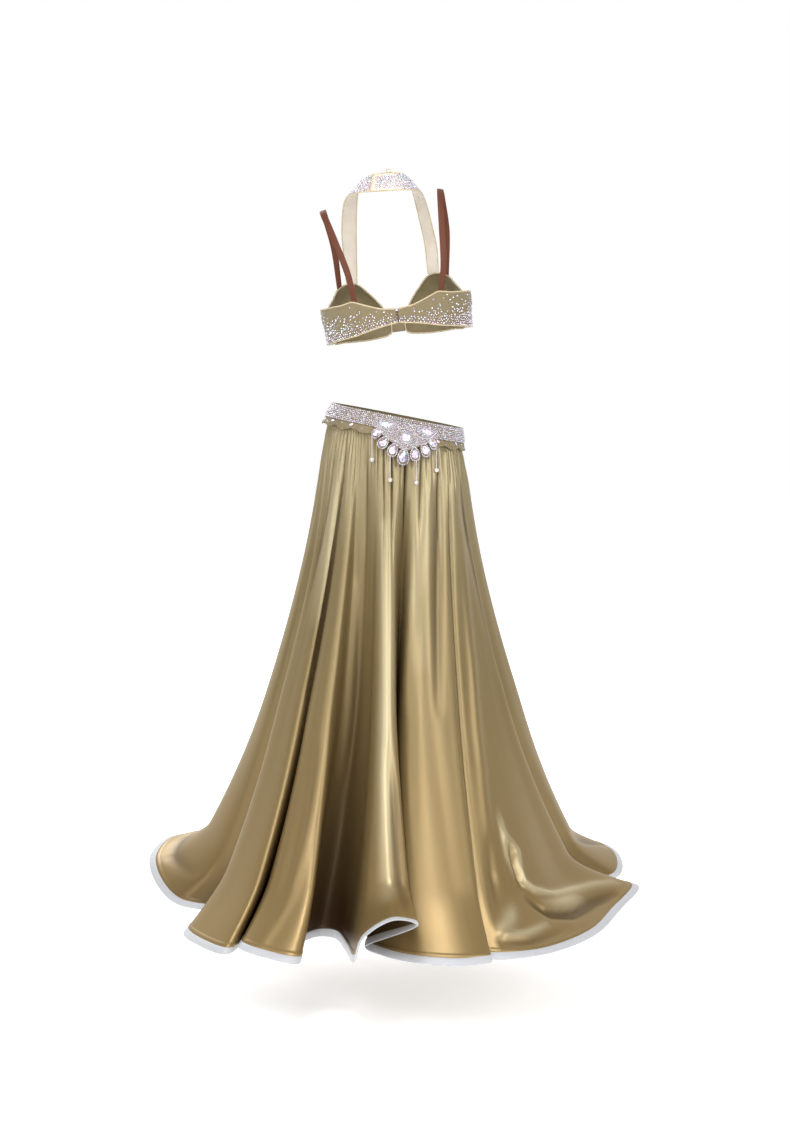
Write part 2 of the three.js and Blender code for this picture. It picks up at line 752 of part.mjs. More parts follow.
/** Rows for half of the halter, which ends on the cup. */
function halterStations(side, stations) {
  const [inner, outer] = ["halter inner", "halter outer"].map((seat) =>
    cupSeat(side, seat, HALTER.rimGap),
  );
  return [...stations, stationBetween(inner, outer)];
}

/** A moulded cup: a dome over its edge, which meets the wing at the side seam. */
function cup(side) {
  const { upper, lower } = WING_EDGES.at(-1);
  const seam = [0, 0.25, 0.5, 0.75, 1].map((share) =>
    ribPoint(RIBS.sideAngle + CUP.seamAngle, side, lerp(lower, upper, share), RIBS.wall / 2),
  );
  const edge = CUP_EDGE.map((point) =>
    leaned(new THREE.Vector3(side * point.x, point.y, point.z), RIBS.lean, RIBS.centreZ),
  );
  const outline = new THREE.CatmullRomCurve3([...seam, ...edge], true, "centripetal");
  const rim = Array.from({ length: CUP.columns }, (_, i) => outline.getPoint(i / CUP.columns));
  const centre = rim.reduce((sum, point) => sum.add(point), new THREE.Vector3());
  centre.divideScalar(rim.length);
  const outward = new THREE.Vector3(side * CUP.outX, -1, CUP.outZ).normalize();
  const dome = (offset) => {
    const rings = grid(CUP.rings, CUP.columns, (ring, column) => {
      const share = (ring + 1) / CUP.rings;
      const lift = CUP.height * (1 - share ** CUP.fullness) + offset;
      return centre.clone().lerp(rim[column], share).addScaledVector(outward, lift);
    });
    return { rings, top: centre.clone().addScaledVector(outward, CUP.height + offset) };
  };
  return domeWall(dome(CUP.wall / 2), dome(-CUP.wall / 2));
}

/** Wall between two domes that are each rings round a top point. */
function domeWall(outer, inner) {
  const columns = outer.rings[0].length;
  const rows = outer.rings.length;
  const points = [...outer.rings.flat(), outer.top, ...inner.rings.flat(), inner.top];
  const outside = (row, column) => row * columns + (column % columns);
  const inside = (row, column) => rows * columns + 1 + outside(row, column);
  const triangles = [];
  for (let column = 0; column < columns; column += 1) {
    triangles.push([rows * columns, outside(0, column), outside(0, column + 1)]);
    triangles.push([points.length - 1, inside(0, column + 1), inside(0, column)]);
    for (let row = 0; row < rows - 1; row += 1) {
      const [a, b] = [outside(row, column), outside(row + 1, column)];
      const [c, d] = [outside(row + 1, column + 1), outside(row, column + 1)];
      triangles.push([a, b, c], [a, c, d]);
      const [e, f] = [inside(row, column), inside(row + 1, column)];
      const [g, h] = [inside(row + 1, column + 1), inside(row, column + 1)];
      triangles.push([e, g, f], [e, h, g]);
    }
    const [a, b] = [outside(rows - 1, column), inside(rows - 1, column)];
    const [c, d] = [inside(rows - 1, column + 1), outside(rows - 1, column + 1)];
    triangles.push([a, b, c], [a, c, d]);
  }
  return solidOf(points, triangles);
}

/** The short piece between the cups. */
function bridge() {
  const face = (off) =>
    grid(2, 3, (row, column) => {
      const z = row === 0 ? BRIDGE.upper : BRIDGE.lower;
      const point = new THREE.Vector3((column - 1) * BRIDGE.halfWidth, BRIDGE.y + off, z);
      return leaned(point, RIBS.lean, RIBS.centreZ);
    });
  return wall(face(-BRIDGE.wall), face(0));
}

/** The hook that closes the band: a flat bar with round ends. */
function claspHook() {
  const radius = CLASP.width / 2;
  const straight = CLASP.height / 2 - radius;
  const outline = new THREE.Shape();
  outline.absarc(0, straight, radius, 0, Math.PI, false);
  outline.absarc(0, -straight, radius, Math.PI, 2 * Math.PI, false);
  outline.closePath();
  const bar = new THREE.ExtrudeGeometry(outline, {
    depth: CLASP.wall,
    bevelEnabled: false,
    curveSegments: 5,
  });
  bar.rotateX(Math.PI / 2);
  return bar;
}

/** The small loop that stands on the nape band's upper edge. */
function napeLoop() {
  const outline = new THREE.Shape();
  outline.absellipse(0, 0, LOOP.width / 2, LOOP.height / 2, 0, 2 * Math.PI, false, 0);
  const hole = new THREE.Path();
  const [holeWidth, holeHeight] = [LOOP.width / 2 - LOOP.wall, LOOP.height / 2 - LOOP.wall];
  hole.absellipse(0, 0, holeWidth, holeHeight, 0, 2 * Math.PI, true, 0);
  outline.holes.push(hole);
  const ring = new THREE.ExtrudeGeometry(outline, {
    depth: LOOP.wall,
    bevelEnabled: false,
    curveSegments: LOOP.sides,
  });
  ring.rotateX(Math.PI / 2);
  return ring;
}

// Materials

const satin = { color: 0xb8a574, roughness: 0.4, metalness: 0.2 };
const horsehair = { color: 0xcdd0d6, roughness: 0.6, metalness: 0 };
const nudeStretch = { color: 0xa8926a, roughness: 0.7, metalness: 0 };
const stoned = { color: 0xd8d4dc, roughness: 0.25, metalness: 0.3 };
const elastic = { color: 0x5f3221, roughness: 0.7, metalness: 0 };
const pearl = { color: 0xe9e2d6, roughness: 0.25, metalness: 0 };
const metal = { color: 0xc4c6ca, roughness: 0.25, metalness: 1 };

// The costume

const costume = new THREE.Group();

/** Adds a named piece to the costume and returns it. */
function add(name, geometry, material) {
  const mesh = new THREE.Mesh(geometry, new THREE.MeshStandardMaterial(material));
  mesh.name = name;
  costume.add(mesh);
  return mesh;
}

GORES.forEach((part, index) => {
  const columns = goreColumns(part, index);
  add(`skirt_${part.name}`, gore(columns), satin);
  add(`braid_${part.name}`, braid(columns), horsehair);
});

for (const half of [
  { name: "back", firstTurn: 0 },
  { name: "front", firstTurn: 180 },
]) {
  const yoke = beltHalf(half.firstTurn, BELT.yokeDepth, BELT.yokeWave, 0, BELT.yokeWall);
  const band = beltHalf(half.firstTurn, BELT.bandDepth, 0, bandBase, BELT.bandWall);
  add(`belt_yoke_${half.name}`, yoke, nudeStretch);
  add(`belt_band_${half.name}`, band, stoned);
}
add("belt_applique", motif(), stoned);

DROPS.forEach((drop, index) => {
  const stone = MOTIF_STONES.find((row) => row.name === drop.stone);
  const tip = new THREE.Vector3(0, -stone.long / 2, DROP.off);
  const mesh = add(`bead_drop_${index + 1}`, beadDrop(drop.length), pearl);
  mesh.position.copy(motifPoint(setStone(tip, stone, drop.side)));
  mesh.position.z -= drop.length + DROP.below;
});

for (const { name, side } of [
  { name: "left", side: 1 },
  { name: "right", side: -1 },
]) {
  const strapRows = strapStations(side, STRAPS[name]);
  const halterRows = halterStations(side, HALTERS[name]);
  add(`wing_${name}`, wing(side), nudeStretch);
  add(`cup_${name}`, cup(side), nudeStretch);
  add(`strap_${name}`, strip(strapRows, STRAP.wall, STRAP.columns), elastic);
  add(`halter_${name}`, strip(halterRows, HALTER.wall, HALTER.columns), stoned);
}
add("bridge", bridge(), nudeStretch);

const hook = add("clasp_hook", claspHook(), metal);
const hookTop = ribPoint(0, 1, CLASP.z + CLASP.height / 2, RIBS.wall + SEAM_GAP + CLASP.wall);
hook.position.set(hookTop.x, hookTop.y, CLASP.z);

const loop = add("halter_loop", napeLoop(), nudeStretch);
loop.position.set(LOOP.x, LOOP.y, LOOP.z);

export default costume;
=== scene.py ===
"""A two-piece belly dance costume: a halter bra top, and a satin skirt on a stoned hip belt.

Metres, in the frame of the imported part: +Z up, the wearer faces -Y, and the wearer's left is +X.
"""

import logging
import math
from dataclasses import dataclass, field
from enum import Enum
from typing import Any, Callable, Sequence

import bpy
import numpy as np
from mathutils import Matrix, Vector
from numpy.typing import NDArray


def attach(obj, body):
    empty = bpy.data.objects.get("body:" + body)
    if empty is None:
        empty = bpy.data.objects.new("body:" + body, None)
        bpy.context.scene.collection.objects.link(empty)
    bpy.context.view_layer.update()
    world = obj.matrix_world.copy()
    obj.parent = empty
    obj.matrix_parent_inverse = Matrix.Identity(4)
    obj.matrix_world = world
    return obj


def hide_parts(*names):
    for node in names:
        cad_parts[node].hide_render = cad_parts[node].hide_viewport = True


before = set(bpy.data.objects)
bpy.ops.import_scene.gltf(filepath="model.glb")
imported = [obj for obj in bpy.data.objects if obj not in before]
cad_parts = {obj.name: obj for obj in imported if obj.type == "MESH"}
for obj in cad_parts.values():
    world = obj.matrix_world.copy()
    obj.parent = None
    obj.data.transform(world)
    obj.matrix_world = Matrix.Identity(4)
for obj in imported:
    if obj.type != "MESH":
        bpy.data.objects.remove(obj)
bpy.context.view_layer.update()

log = logging.getLogger("costume")

Array = NDArray[np.float64]
Indices = NDArray[np.int64]
Amount = Array | float
Triple = tuple[float, float, float]
Table = tuple[tuple[float, ...], ...]
Solid = tuple[Array, Indices]
Material = bpy.types.Material
Piece = bpy.types.Object
Socket = bpy.types.NodeSocket

MM = 0.001
BODY = "root"


# Finishes


class Value:
    """A number from a socket of a material, with arithmetic."""

    def __init__(self, paint: "Wiring", socket: Socket) -> None:
        """Keeps the socket and the material that it belongs to."""
        self.paint = paint
        self.socket = socket

    def _with(self, operation: str, first: "Value | float", second: "Value | float") -> "Value":
        """Adds a Math node.

        Args:
            operation: The node's operation.
            first: Its first value.
            second: Its second value.

        Returns:
            The node's result.
        """
        settings = {"operation": operation}
        node = self.paint.node("ShaderNodeMath", settings, {0: first, 1: second})
        return Value(self.paint, node.outputs[0])

    def __add__(self, other: "Value | float") -> "Value":
        """Sum."""
        return self._with("ADD", self, other)

    def __radd__(self, other: float) -> "Value":
        """Sum, from the right."""
        return self._with("ADD", other, self)

    def __sub__(self, other: "Value | float") -> "Value":
        """Difference."""
        return self._with("SUBTRACT", self, other)

    def __rsub__(self, other: float) -> "Value":
        """Difference, from the right."""
        return self._with("SUBTRACT", other, self)

    def __mul__(self, other: "Value | float") -> "Value":
        """Product."""
        return self._with("MULTIPLY", self, other)

    def __rmul__(self, other: float) -> "Value":
        """Product, from the right."""
        return self._with("MULTIPLY", other, self)


class Wiring:
    """A node tree that is being wired."""

    def __init__(self, tree: bpy.types.NodeTree) -> None:
        """Takes the tree."""
        self.tree = tree

    def node(self, kind: str, settings: dict[str, Any], inputs: dict[str | int, Any]) -> bpy.types.Node:
        """Adds a node.

        Args:
            kind: The node's type.
            settings: Its own settings, which are set first.
            inputs: Values or links for its sockets, by their place, name or identifier.

        Returns:
            The node.
        """
        node = self.tree.nodes.new(kind)
        for key, value in settings.items():
            setattr(node, key, value)
        for key, value in inputs.items():
            if isinstance(key, int):
                socket = node.inputs[key]
            else:
                socket = next(s for s in node.inputs if key in (s.identifier, s.name))
            self.feed(socket, value)
        return node

    def feed(self, socket: Socket, value: Any) -> None:
        """Links a socket to a value, or sets it."""
        if isinstance(value, Value):
            self.tree.links.new(value.socket, socket)
        elif isinstance(value, Socket):
            self.tree.links.new(value, socket)
        else:
            socket.default_value = value

    def place(self, kind: str = "Object") -> Socket:
        """Coordinates on the surface, in metres."""
        return self.node("ShaderNodeTexCoord", {}, {}).outputs[kind]

    def stretched(self, scale: Sequence[float], kind: str = "Object") -> Socket:
        """Coordinates on the surface, times a scale for each axis."""
        settings = {"operation": "MULTIPLY"}
        inputs = {0: self.place(kind), 1: tuple(scale)}
        return self.node("ShaderNodeVectorMath", settings, inputs).outputs[0]

    def noise(self, vector: Socket, scale: float, detail: float = 2.0) -> Value:
        """Soft noise from 0 to 1."""
        inputs = {"Vector": vector, "Scale": scale, "Detail": detail}
        return Value(self, self.node("ShaderNodeTexNoise", {}, inputs).outputs[0])

    def threads(self, vector: Socket, scale: float, axis: str) -> Value:
        """Straight ribs along one axis, from 0 to 1."""
        settings = {"wave_type": "BANDS", "bands_direction": axis}
        inputs = {"Vector": vector, "Scale": scale}
        return Value(self, self.node("ShaderNodeTexWave", settings, inputs).outputs["Fac"])

    def blend(self, factor: Value | Socket, low: Triple | Socket, high: Triple | Socket) -> Socket:
        """Mixes two colours.

        Args:
            factor: 0 for the first colour and 1 for the second.
            low: The first colour.
            high: The second colour.

        Returns:
            The mixed colour.
        """
        whole = [c if isinstance(c, Socket) else (*c, 1.0) for c in (low, high)]
        inputs = {"Factor_Float": factor, "A_Color": whole[0], "B_Color": whole[1]}
        node = self.node("ShaderNodeMix", {"data_type": "RGBA"}, inputs)
        return next(s for s in node.outputs if s.identifier == "Result_Color")


class Paint(Wiring):
    """A material in the making: its one shader, and the nodes that feed it."""

    def __init__(self, name: str, **constants: Any) -> None:
        """Starts a material.

        Args:
            name: The material's name.
            **constants: Values of the shader's own sockets, with _ for each space in a name.
        """
        self.material = bpy.data.materials.new(name)
        self.material.use_nodes = True
        super().__init__(self.material.node_tree)
        self.shader = self.tree.nodes["Principled BSDF"]
        for key, value in constants.items():
            self.shader.inputs[key.replace("_", " ")].default_value = value

    def colour(self, value: Socket) -> None:
        """Sets what the base colour follows."""
        self.feed(self.shader.inputs["Base Color"], value)

    def roughness(self, value: Value) -> None:
        """Sets what the roughness follows."""
        self.feed(self.shader.inputs["Roughness"], value)

    def bump(self, height: Value, strength: float, distance: float) -> None:
        """Adds fine relief.

        Args:
            height: 0 for low and 1 for high.
            strength: How much of it shows, up to 1.
            distance: Height of the relief, in metres.
        """
        inputs = {"Strength": strength, "Distance": distance, "Height": height}
        node = self.node("ShaderNodeBump", {}, inputs)
        self.feed(self.shader.inputs["Normal"], node.outputs[0])


@dataclass(frozen=True)
class Satin:
    """Champagne gold satin: smooth, with long soft streaks down the cloth and a fine twill. Its colour holds
    painted shade deep in the folds, painted highlights along some crests, and painted light that makes it
    warmer towards the hem and paler under the belt.
    """

    deep: Triple = (0.180, 0.131, 0.056)
    pale: Triple = (0.250, 0.194, 0.096)
    # painted light: a warmer tint towards the hem, and a paler, greyer one under the belt
    hem: Triple = (0.250, 0.165, 0.062)
    top: Triple = (0.280, 0.230, 0.130)
    # painted shade for deep in the folds, and painted highlight for crests
    painted_shade: Triple = (0.034, 0.016, 0.005)
    painted_highlight: Triple = (0.50, 0.43, 0.27)
    fold_light: str = "fold_light"  # red for the painted shade deep in the folds, and green for the painted highlight along crests
    tint: tuple[float, float, float, float] = (1.0, 0.92, 0.76, 1.0)
    metallic: float = 0.45
    gloss: float = 0.35

    def make(self) -> Material:
        """Makes the material."""
        paint = Paint("satin", Metallic=self.metallic, Specular_IOR_Level=0.7, Specular_Tint=self.tint)
        streaks = paint.noise(paint.stretched((55.0, 3.0, 1.0), "UV"), 1.0, 3.0)
        twill = paint.noise(paint.stretched((2600.0, 900.0, 1.0), "UV"), 1.0, 1.0)
        flat = paint.node("ShaderNodeSeparateXYZ", {}, {0: paint.place("UV")})
        near_hem = {"Value": flat.outputs["Y"], "From Min": 0.25, "From Max": 1.0}
        near_top = {"Value": flat.outputs["Y"], "From Min": 0.24, "From Max": 0.05}
        cloth = paint.blend(streaks, self.deep, self.pale)
        # painted light: warmer towards the hem, paler under the belt
        for reach, colour in ((near_hem, self.hem), (near_top, self.top)):
            share = paint.node("ShaderNodeMapRange", {}, reach).outputs["Result"]
            cloth = paint.blend(share, cloth, colour)
        # painted highlight along crests, then painted shade deep in the folds, from the fold colours
        tint = paint.node("ShaderNodeVertexColor", {"layer_name": self.fold_light}, {}).outputs["Color"]
        fold_light = paint.node("ShaderNodeSeparateColor", {}, {0: tint})
        cloth = paint.blend(fold_light.outputs["Green"], cloth, self.painted_highlight)
        paint.colour(paint.blend(fold_light.outputs["Red"], cloth, self.painted_shade))
        paint.roughness(self.gloss + streaks * 0.1)
        paint.bump(twill + streaks * 2.0, 0.12, 0.15 * MM)
        return paint.material


@dataclass(frozen=True)
class Horsehair:
    """Stiff pale braid, woven slantwise."""

    pale: Triple = (0.55, 0.56, 0.585)
    shade: Triple = (0.32, 0.325, 0.35)

    def make(self) -> Material:
        """Makes the material."""
        paint = Paint("horsehair", Sheen_Weight=0.3, Specular_IOR_Level=0.6)
        across = paint.threads(paint.stretched((170.0, 170.0, 1.0), "UV"), 1.0, "DIAGONAL")
        back = paint.threads(paint.stretched((170.0, -170.0, 1.0), "UV"), 1.0, "DIAGONAL")
        weave = (across + back) * 0.5
        paint.colour(paint.blend(weave, self.shade, self.pale))
        paint.roughness(0.42 + weave * 0.2)
        paint.bump(weave, 0.5, 0.3 * MM)
        return paint.material


@dataclass(frozen=True)
class NudeStretch:
    """Matt stretch cloth with a fine knit."""

    name: str = "nude_stretch"
    deep: Triple = (0.142, 0.110, 0.052)
    pale: Triple = (0.192, 0.150, 0.074)

    def make(self) -> Material:
        """Makes the material."""
        paint = Paint(self.name, Sheen_Weight=0.15, Sheen_Roughness=0.5)
        patches = paint.noise(paint.place(), 55.0, 3.0)
        knit = paint.noise(paint.place(), 1800.0, 1.0)
        paint.colour(paint.blend(patches, self.deep, self.pale))
        paint.roughness(0.55 + knit * 0.2)
        paint.bump(knit, 0.35, 0.2 * MM)
        return paint.material


PIPING_TINTS = ((0.42, 0.335, 0.20), (0.50, 0.41, 0.26))


@dataclass(frozen=True)
class Elastic:
    """Brown strap elastic, ribbed along its length."""

    deep: Triple = (0.070, 0.020, 0.009)
    pale: Triple = (0.125, 0.038, 0.018)

    def make(self) -> Material:
        """Makes the material."""
        paint = Paint("elastic", Specular_IOR_Level=0.25)
        ribs = paint.threads(paint.stretched((150.0, 1.0, 1.0), "UV"), 1.0, "X")
        knit = paint.noise(paint.stretched((700.0, 1400.0, 1.0), "UV"), 1.0, 1.0)
        paint.colour(paint.blend(knit * 0.6 + ribs * 0.4, self.deep, self.pale))
        paint.roughness(0.5 + knit * 0.2)
        paint.bump(ribs + knit * 0.5, 0.5, 0.25 * MM)
        return paint.material


@dataclass(frozen=True)
class Crystal:
    """Cut iridescent stones with a foiled back. Each facet has its own tint, with painted glints in it, and
    the stones glow with these tints as painted sparkle.
    """

    tints: str = "facet"
    # strength of the painted glow
    painted_glow: float = 0.44
    coat: float = 0.03

    def make(self) -> Material:
        """Makes the material."""
        paint = Paint("crystal", Metallic=0.35, Coat_Weight=0.7, Coat_Roughness=self.coat)
        # painted glow, though the stones are no lamp
        paint.shader.inputs["Emission Strength"].default_value = self.painted_glow
        facets = paint.node("ShaderNodeVertexColor", {"layer_name": self.tints}, {})
        veil = paint.noise(paint.place(), 420.0, 1.0)
        paint.colour(paint.blend(veil * 0.12, facets.outputs["Color"], (0.86, 0.84, 0.9)))
        # the painted glow takes each facet's colour
        paint.feed(paint.shader.inputs["Emission Color"], facets.outputs["Color"])
        paint.roughness(0.09 + veil * 0.12)
        return paint.material


@dataclass(frozen=True)
class Pearl:
    """White pearl beads with a soft lustre."""

    deep: Triple = (0.40, 0.37, 0.36)
    pale: Triple = (0.60, 0.57, 0.56)

    def make(self) -> Material:
        """Makes the material."""
        paint = Paint("pearl", Coat_Weight=0.6, Coat_Roughness=0.1, Sheen_Weight=0.2)
        cloud = paint.noise(paint.place(), 260.0, 2.0)
        paint.colour(paint.blend(cloud, self.deep, self.pale))
        paint.roughness(0.2 + cloud * 0.1)
        return paint.material


@dataclass(frozen=True)
class Nickel:
    """Dull nickel of the hook."""

    colour: Triple = (0.20, 0.185, 0.17)
    worn: Triple = (0.30, 0.28, 0.26)

    def make(self) -> Material:
        """Makes the material."""
        paint = Paint("nickel", Metallic=1.0)
        scratches = paint.noise(paint.stretched((900.0, 900.0, 90.0)), 1.0, 2.0)
        paint.colour(paint.blend(scratches, self.colour, self.worn))
        paint.roughness(0.3 + scratches * 0.15)
        return paint.material


@dataclass(frozen=True)
class Studio:
    """Plain pale floor, soft light, and the camera at the photo's place."""

    floor_height: float = -1.056
    floor_side: float = 30.0
    camera_back: float = 4.0
    camera_side: float = 0.0045
    camera_height: float = 0.094
    drop: float = 0.380  # how far the camera's aim falls over its distance
    half_angle: float = 14.5
    floor_colour: Triple = (0.94, 0.94, 0.94)
    sky_behind: float = 1.0  # past the costume, as the camera sees it
    sky_before: float = 0.22
    lit_spot: Triple = (0.0, 0.0, -0.35)
    # name, place, side of the square in metres, and power in watts
    lights: tuple[tuple[str, Triple, float, float], ...] = (
        ("key", (0.7, 3.5, 1.6), 1.1, 45.0),
        ("left", (2.6, 2.4, 1.0), 1.3, 19.0),
        ("right", (-2.4, 3.2, 1.2), 1.3, 56.0),
        ("top", (0.3, 2.0, 2.5), 1.0, 75.0),
        ("front", (1.5, -3.5, 1.8), 1.8, 70.0),
    )

    def place_camera(self) -> None:
        """Puts the camera behind the wearer."""
        data = bpy.data.cameras.new("camera")
        data.sensor_width = 36.0
        data.lens = 18.0 / math.tan(math.radians(self.half_angle))
        camera = bpy.data.objects.new("camera", data)
        camera.location = (self.camera_side, self.camera_back, self.camera_height)
        pitch = math.atan2(self.drop, self.camera_back)
        camera.rotation_euler = (math.pi / 2 - pitch, 0.0, math.pi)
        bpy.context.scene.collection.objects.link(camera)
        bpy.context.scene.camera = camera

    def light(self, name: str, place: Sequence[float], size: float, power: float) -> None:
        """Adds a soft light that faces the skirt.

        Args:
            name: The light's name.
            place: Where it stands.
            size: Side of its square.
            power: Its power in watts.
        """
        data = bpy.data.lights.new(name, "AREA")
        data.size = size
        data.energy = power
        lamp = bpy.data.objects.new(name, data)
        lamp.location = place
        towards = Vector(self.lit_spot) - Vector(place)
        lamp.rotation_euler = towards.to_track_quat("-Z", "Y").to_euler()
        bpy.context.scene.collection.objects.link(lamp)

    def build_sky(self) -> None:
        """Makes a sky that is bright behind the costume and dimmer on the camera's side."""
        world = bpy.data.worlds.new("sky")
        world.use_nodes = True
        wiring = Wiring(world.node_tree)
        ways = {0: wiring.place("Generated"), 1: (0.0, -1.0, 0.0)}
        behind = wiring.node("ShaderNodeVectorMath", {"operation": "DOT_PRODUCT"}, ways)
        reach = {"Value": behind.outputs["Value"], "From Min": -0.2, "From Max": 0.75}
        share = wiring.node("ShaderNodeMapRange", {"interpolation_type": "SMOOTHSTEP"}, reach)
        low, high = (self.sky_before,) * 3, (self.sky_behind,) * 3
        shade = wiring.blend(share.outputs["Result"], low, high)
        wiring.feed(world.node_tree.nodes["Background"].inputs["Color"], shade)
        bpy.context.scene.world = world

    def build(self) -> None:
        """Builds the floor, the sky and the lights."""
        paint = Paint("floor", Roughness=0.8, Emission_Color=(1.0, 1.0, 1.0, 1.0), Emission_Strength=0.62)
        patches = paint.noise(paint.place(), 0.6, 1.0)
        low = tuple(0.985 * part for part in self.floor_colour)
        paint.colour(paint.blend(patches, low, self.floor_colour))
        corners = np.array([(-1, -1), (1, -1), (1, 1), (-1, 1)]) * self.floor_side / 2
        points = np.column_stack([corners, np.full(4, self.floor_height)])
        floor = mesh_object("floor", points, np.array([[0, 1, 2, 3]]), paint.material)
        self.build_sky()
        for lamp in self.lights:
            self.light(*lamp)
        bpy.context.scene.view_settings.view_transform = "Standard"


# Meshes


def mesh_object(
    name: str, points: Array, faces: Indices, material: Material, uv: Array | None = None, crease: float = 50
) -> Piece:
    """Makes an object from points and faces that all have as many corners.

    Args:
        name: The object's name.
        points: One row for each point.
        faces: One row of point numbers for each face.
        material: Its material.
        uv: Place of each point on the flat cloth, in metres.
        crease: Angle in degrees past which an edge is sharp, or 0 for flat facets.

    Returns:
        The object.
    """
    mesh = bpy.data.meshes.new(name)
    mesh.vertices.add(len(points))
    mesh.vertices.foreach_set("co", np.ascontiguousarray(points, dtype=np.float32).ravel())
    corners = faces.shape[1]
    flat = np.ascontiguousarray(faces, dtype=np.int32).ravel()
    mesh.loops.add(len(flat))
    mesh.loops.foreach_set("vertex_index", flat)
    mesh.polygons.add(len(faces))
    mesh.polygons.foreach_set("loop_start", np.arange(len(faces), dtype=np.int32) * corners)
    mesh.update(calc_edges=True)
    if crease:
        mesh.shade_smooth()
        mesh.set_sharp_from_angle(angle=math.radians(crease))
    if uv is not None:
        layer = mesh.uv_layers.new(name="flat")
        layer.data.foreach_set("uv", np.ascontiguousarray(uv[flat], dtype=np.float32).ravel())
    mesh.materials.append(material)
    made = bpy.data.objects.new(name, mesh)
    bpy.context.scene.collection.objects.link(made)
    return made


def outwards(points: Array, faces: Indices) -> Indices:
    """Faces of a closed solid, turned so that they face out."""
    a, b, c = (points[faces[:, i]] for i in range(3))
    volume = np.einsum("ij,ij->", a, np.cross(b, c))
    if faces.shape[1] == 4:
        d = points[faces[:, 3]]
        volume += np.einsum("ij,ij->", a, np.cross(c, d))
    return faces if volume > 0 else faces[:, ::-1]


def ring_of_quads(first: Indices, second: Indices) -> Indices:
    """Quads between two lines of point numbers."""
    return np.stack([first[:-1], second[:-1], second[1:], first[1:]], axis=-1).reshape(-1, 4)


def shell(outer: Array, inner: Array) -> Solid:
    """Closed wall between two grids of points.

    Args:
        outer: Points of one side, as rows, columns and axes.
        inner: Points of the other side.

    Returns:
        The points and the faces.
    """
    rows, columns = outer.shape[:2]
    front = np.arange(rows * columns).reshape(rows, columns)
    back = front + rows * columns
    faces = []
    for row in range(rows - 1):
        faces.append(ring_of_quads(front[row], front[row + 1]))
        faces.append(ring_of_quads(back[row + 1], back[row]))
    faces.append(ring_of_quads(back[0], front[0]))
    faces.append(ring_of_quads(front[-1], back[-1]))
    faces.append(ring_of_quads(front[:, 0], back[:, 0]))
    faces.append(ring_of_quads(back[:, -1], front[:, -1]))
    points = np.concatenate([outer.reshape(-1, 3), inner.reshape(-1, 3)])
    joined = np.concatenate(faces)
    return points, outwards(points, joined)


def unit(vectors: Array) -> Array:
    """Vectors of length 1."""
    length = np.linalg.norm(vectors, axis=-1, keepdims=True)
    return vectors / np.maximum(length, 1e-12)


def normals_of(points: Array) -> Array:
    """Normals of a grid of points whose rows go down and columns anticlockwise from above."""
    down = np.gradient(points, axis=0)
    along = np.gradient(points, axis=1)
    return unit(np.cross(down, along))


def facing(normals: Array, out: Array) -> Array:
    """Normals, turned over where they point against a way out."""
    return normals * np.sign(np.sum(normals * out, axis=-1, keepdims=True))


def travelled(line: Array) -> Array:
    """Distances along a line of points, from its first one."""
    return np.concatenate([[0.0], np.cumsum(np.linalg.norm(np.diff(line, axis=0), axis=1))])


def flat_places(across: Array, down: Array, shape: tuple[int, ...]) -> Array:
    """Places on the flat cloth of the points on both sides of a wall."""
    side = np.stack([np.broadcast_to(across, shape), np.broadcast_to(down, shape)], axis=-1)
    return np.tile(side.reshape(-1, 2), (2, 1))


def leaned(points: Array, angle: float, centre: float = 0.0) -> Array:
    """Turns points about the Y axis through a height, so that +X goes up.

    Args:
        points: The points.
        angle: The angle in degrees.
        centre: The height of the axis.

    Returns:
        The turned points.
    """
    cosine, sine = math.cos(math.radians(angle)), math.sin(math.radians(angle))
    x, y, z = points[..., 0], points[..., 1], points[..., 2] - centre
    return np.stack([x * cosine - z * sine, y, x * sine + z * cosine + centre], axis=-1)


def smooth(share: Array) -> Array:
    """Smooth step from 0 to 1."""
    s = np.clip(share, 0.0, 1.0)
    return s * s * (3.0 - 2.0 * s)


def curve(points: Array, place: Array, closed: bool) -> Array:
    """Smooth curve through points, with sharper turns where the points lie close.

    Args:
        points: The points.
        place: Places along it, 0 at the first point and 1 at the second.
        closed: True if it comes back to its first point.

    Returns:
        A point for each place.
    """
    count = len(points)
    if closed:
        padded = points[np.arange(-1, count + 2) % count]
        first = np.floor(place).astype(int)
        share = (place - first)[:, None]
        first = first % count
    else:
        padded = np.concatenate([2 * points[:1] - points[1:2], points, 2 * points[-1:] - points[-2:-1]])
        first = np.clip(np.floor(place).astype(int), 0, count - 2)
        share = (place - first)[:, None]
    a, b, c, d = (padded[first + i] for i in range(4))
    ab, bc, cd = (
        np.sqrt(np.maximum(np.linalg.norm(q - p, axis=1), 1e-6))[:, None]
        for p, q in ((a, b), (b, c), (c, d))
    )
    start = bc * ((b - a) / ab - (c - a) / (ab + bc) + (c - b) / bc)
    end = bc * ((c - b) / bc - (d - b) / (bc + cd) + (d - c) / cd)
    s2, s3 = share * share, share * share * share
    ends = (2 * s3 - 3 * s2 + 1) * b + (s3 - 2 * s2 + share) * start
    return ends + (3 * s2 - 2 * s3) * c + (s3 - s2) * end


def dress(piece: Piece, slot: str, *nodes: str) -> Piece:
    """Lets a piece ride with the costume and stand for its CAD nodes."""
    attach(piece, BODY)
    if nodes:
        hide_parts(*nodes)
    log.info("%s: %d faces", piece.name, len(piece.data.polygons))
    return piece


def sewn(name: str, solid: Solid, material: Material, slot: str, *nodes: str) -> Piece:
    """Makes a piece of the costume from its points and faces, and dresses it."""
    return dress(mesh_object(name, *solid, material), slot, *nodes)


# Stones and beads


class Cut(Enum):
    """Ways in which a stone or a bead is shaped."""

    CHATON = "small round stone"
    ROUND = "large round stone"
    NAVETTE = "stone with two points"
    PEAR = "stone with one narrow end"
    SQUARE = "square stone"
    BEAD = "bead"


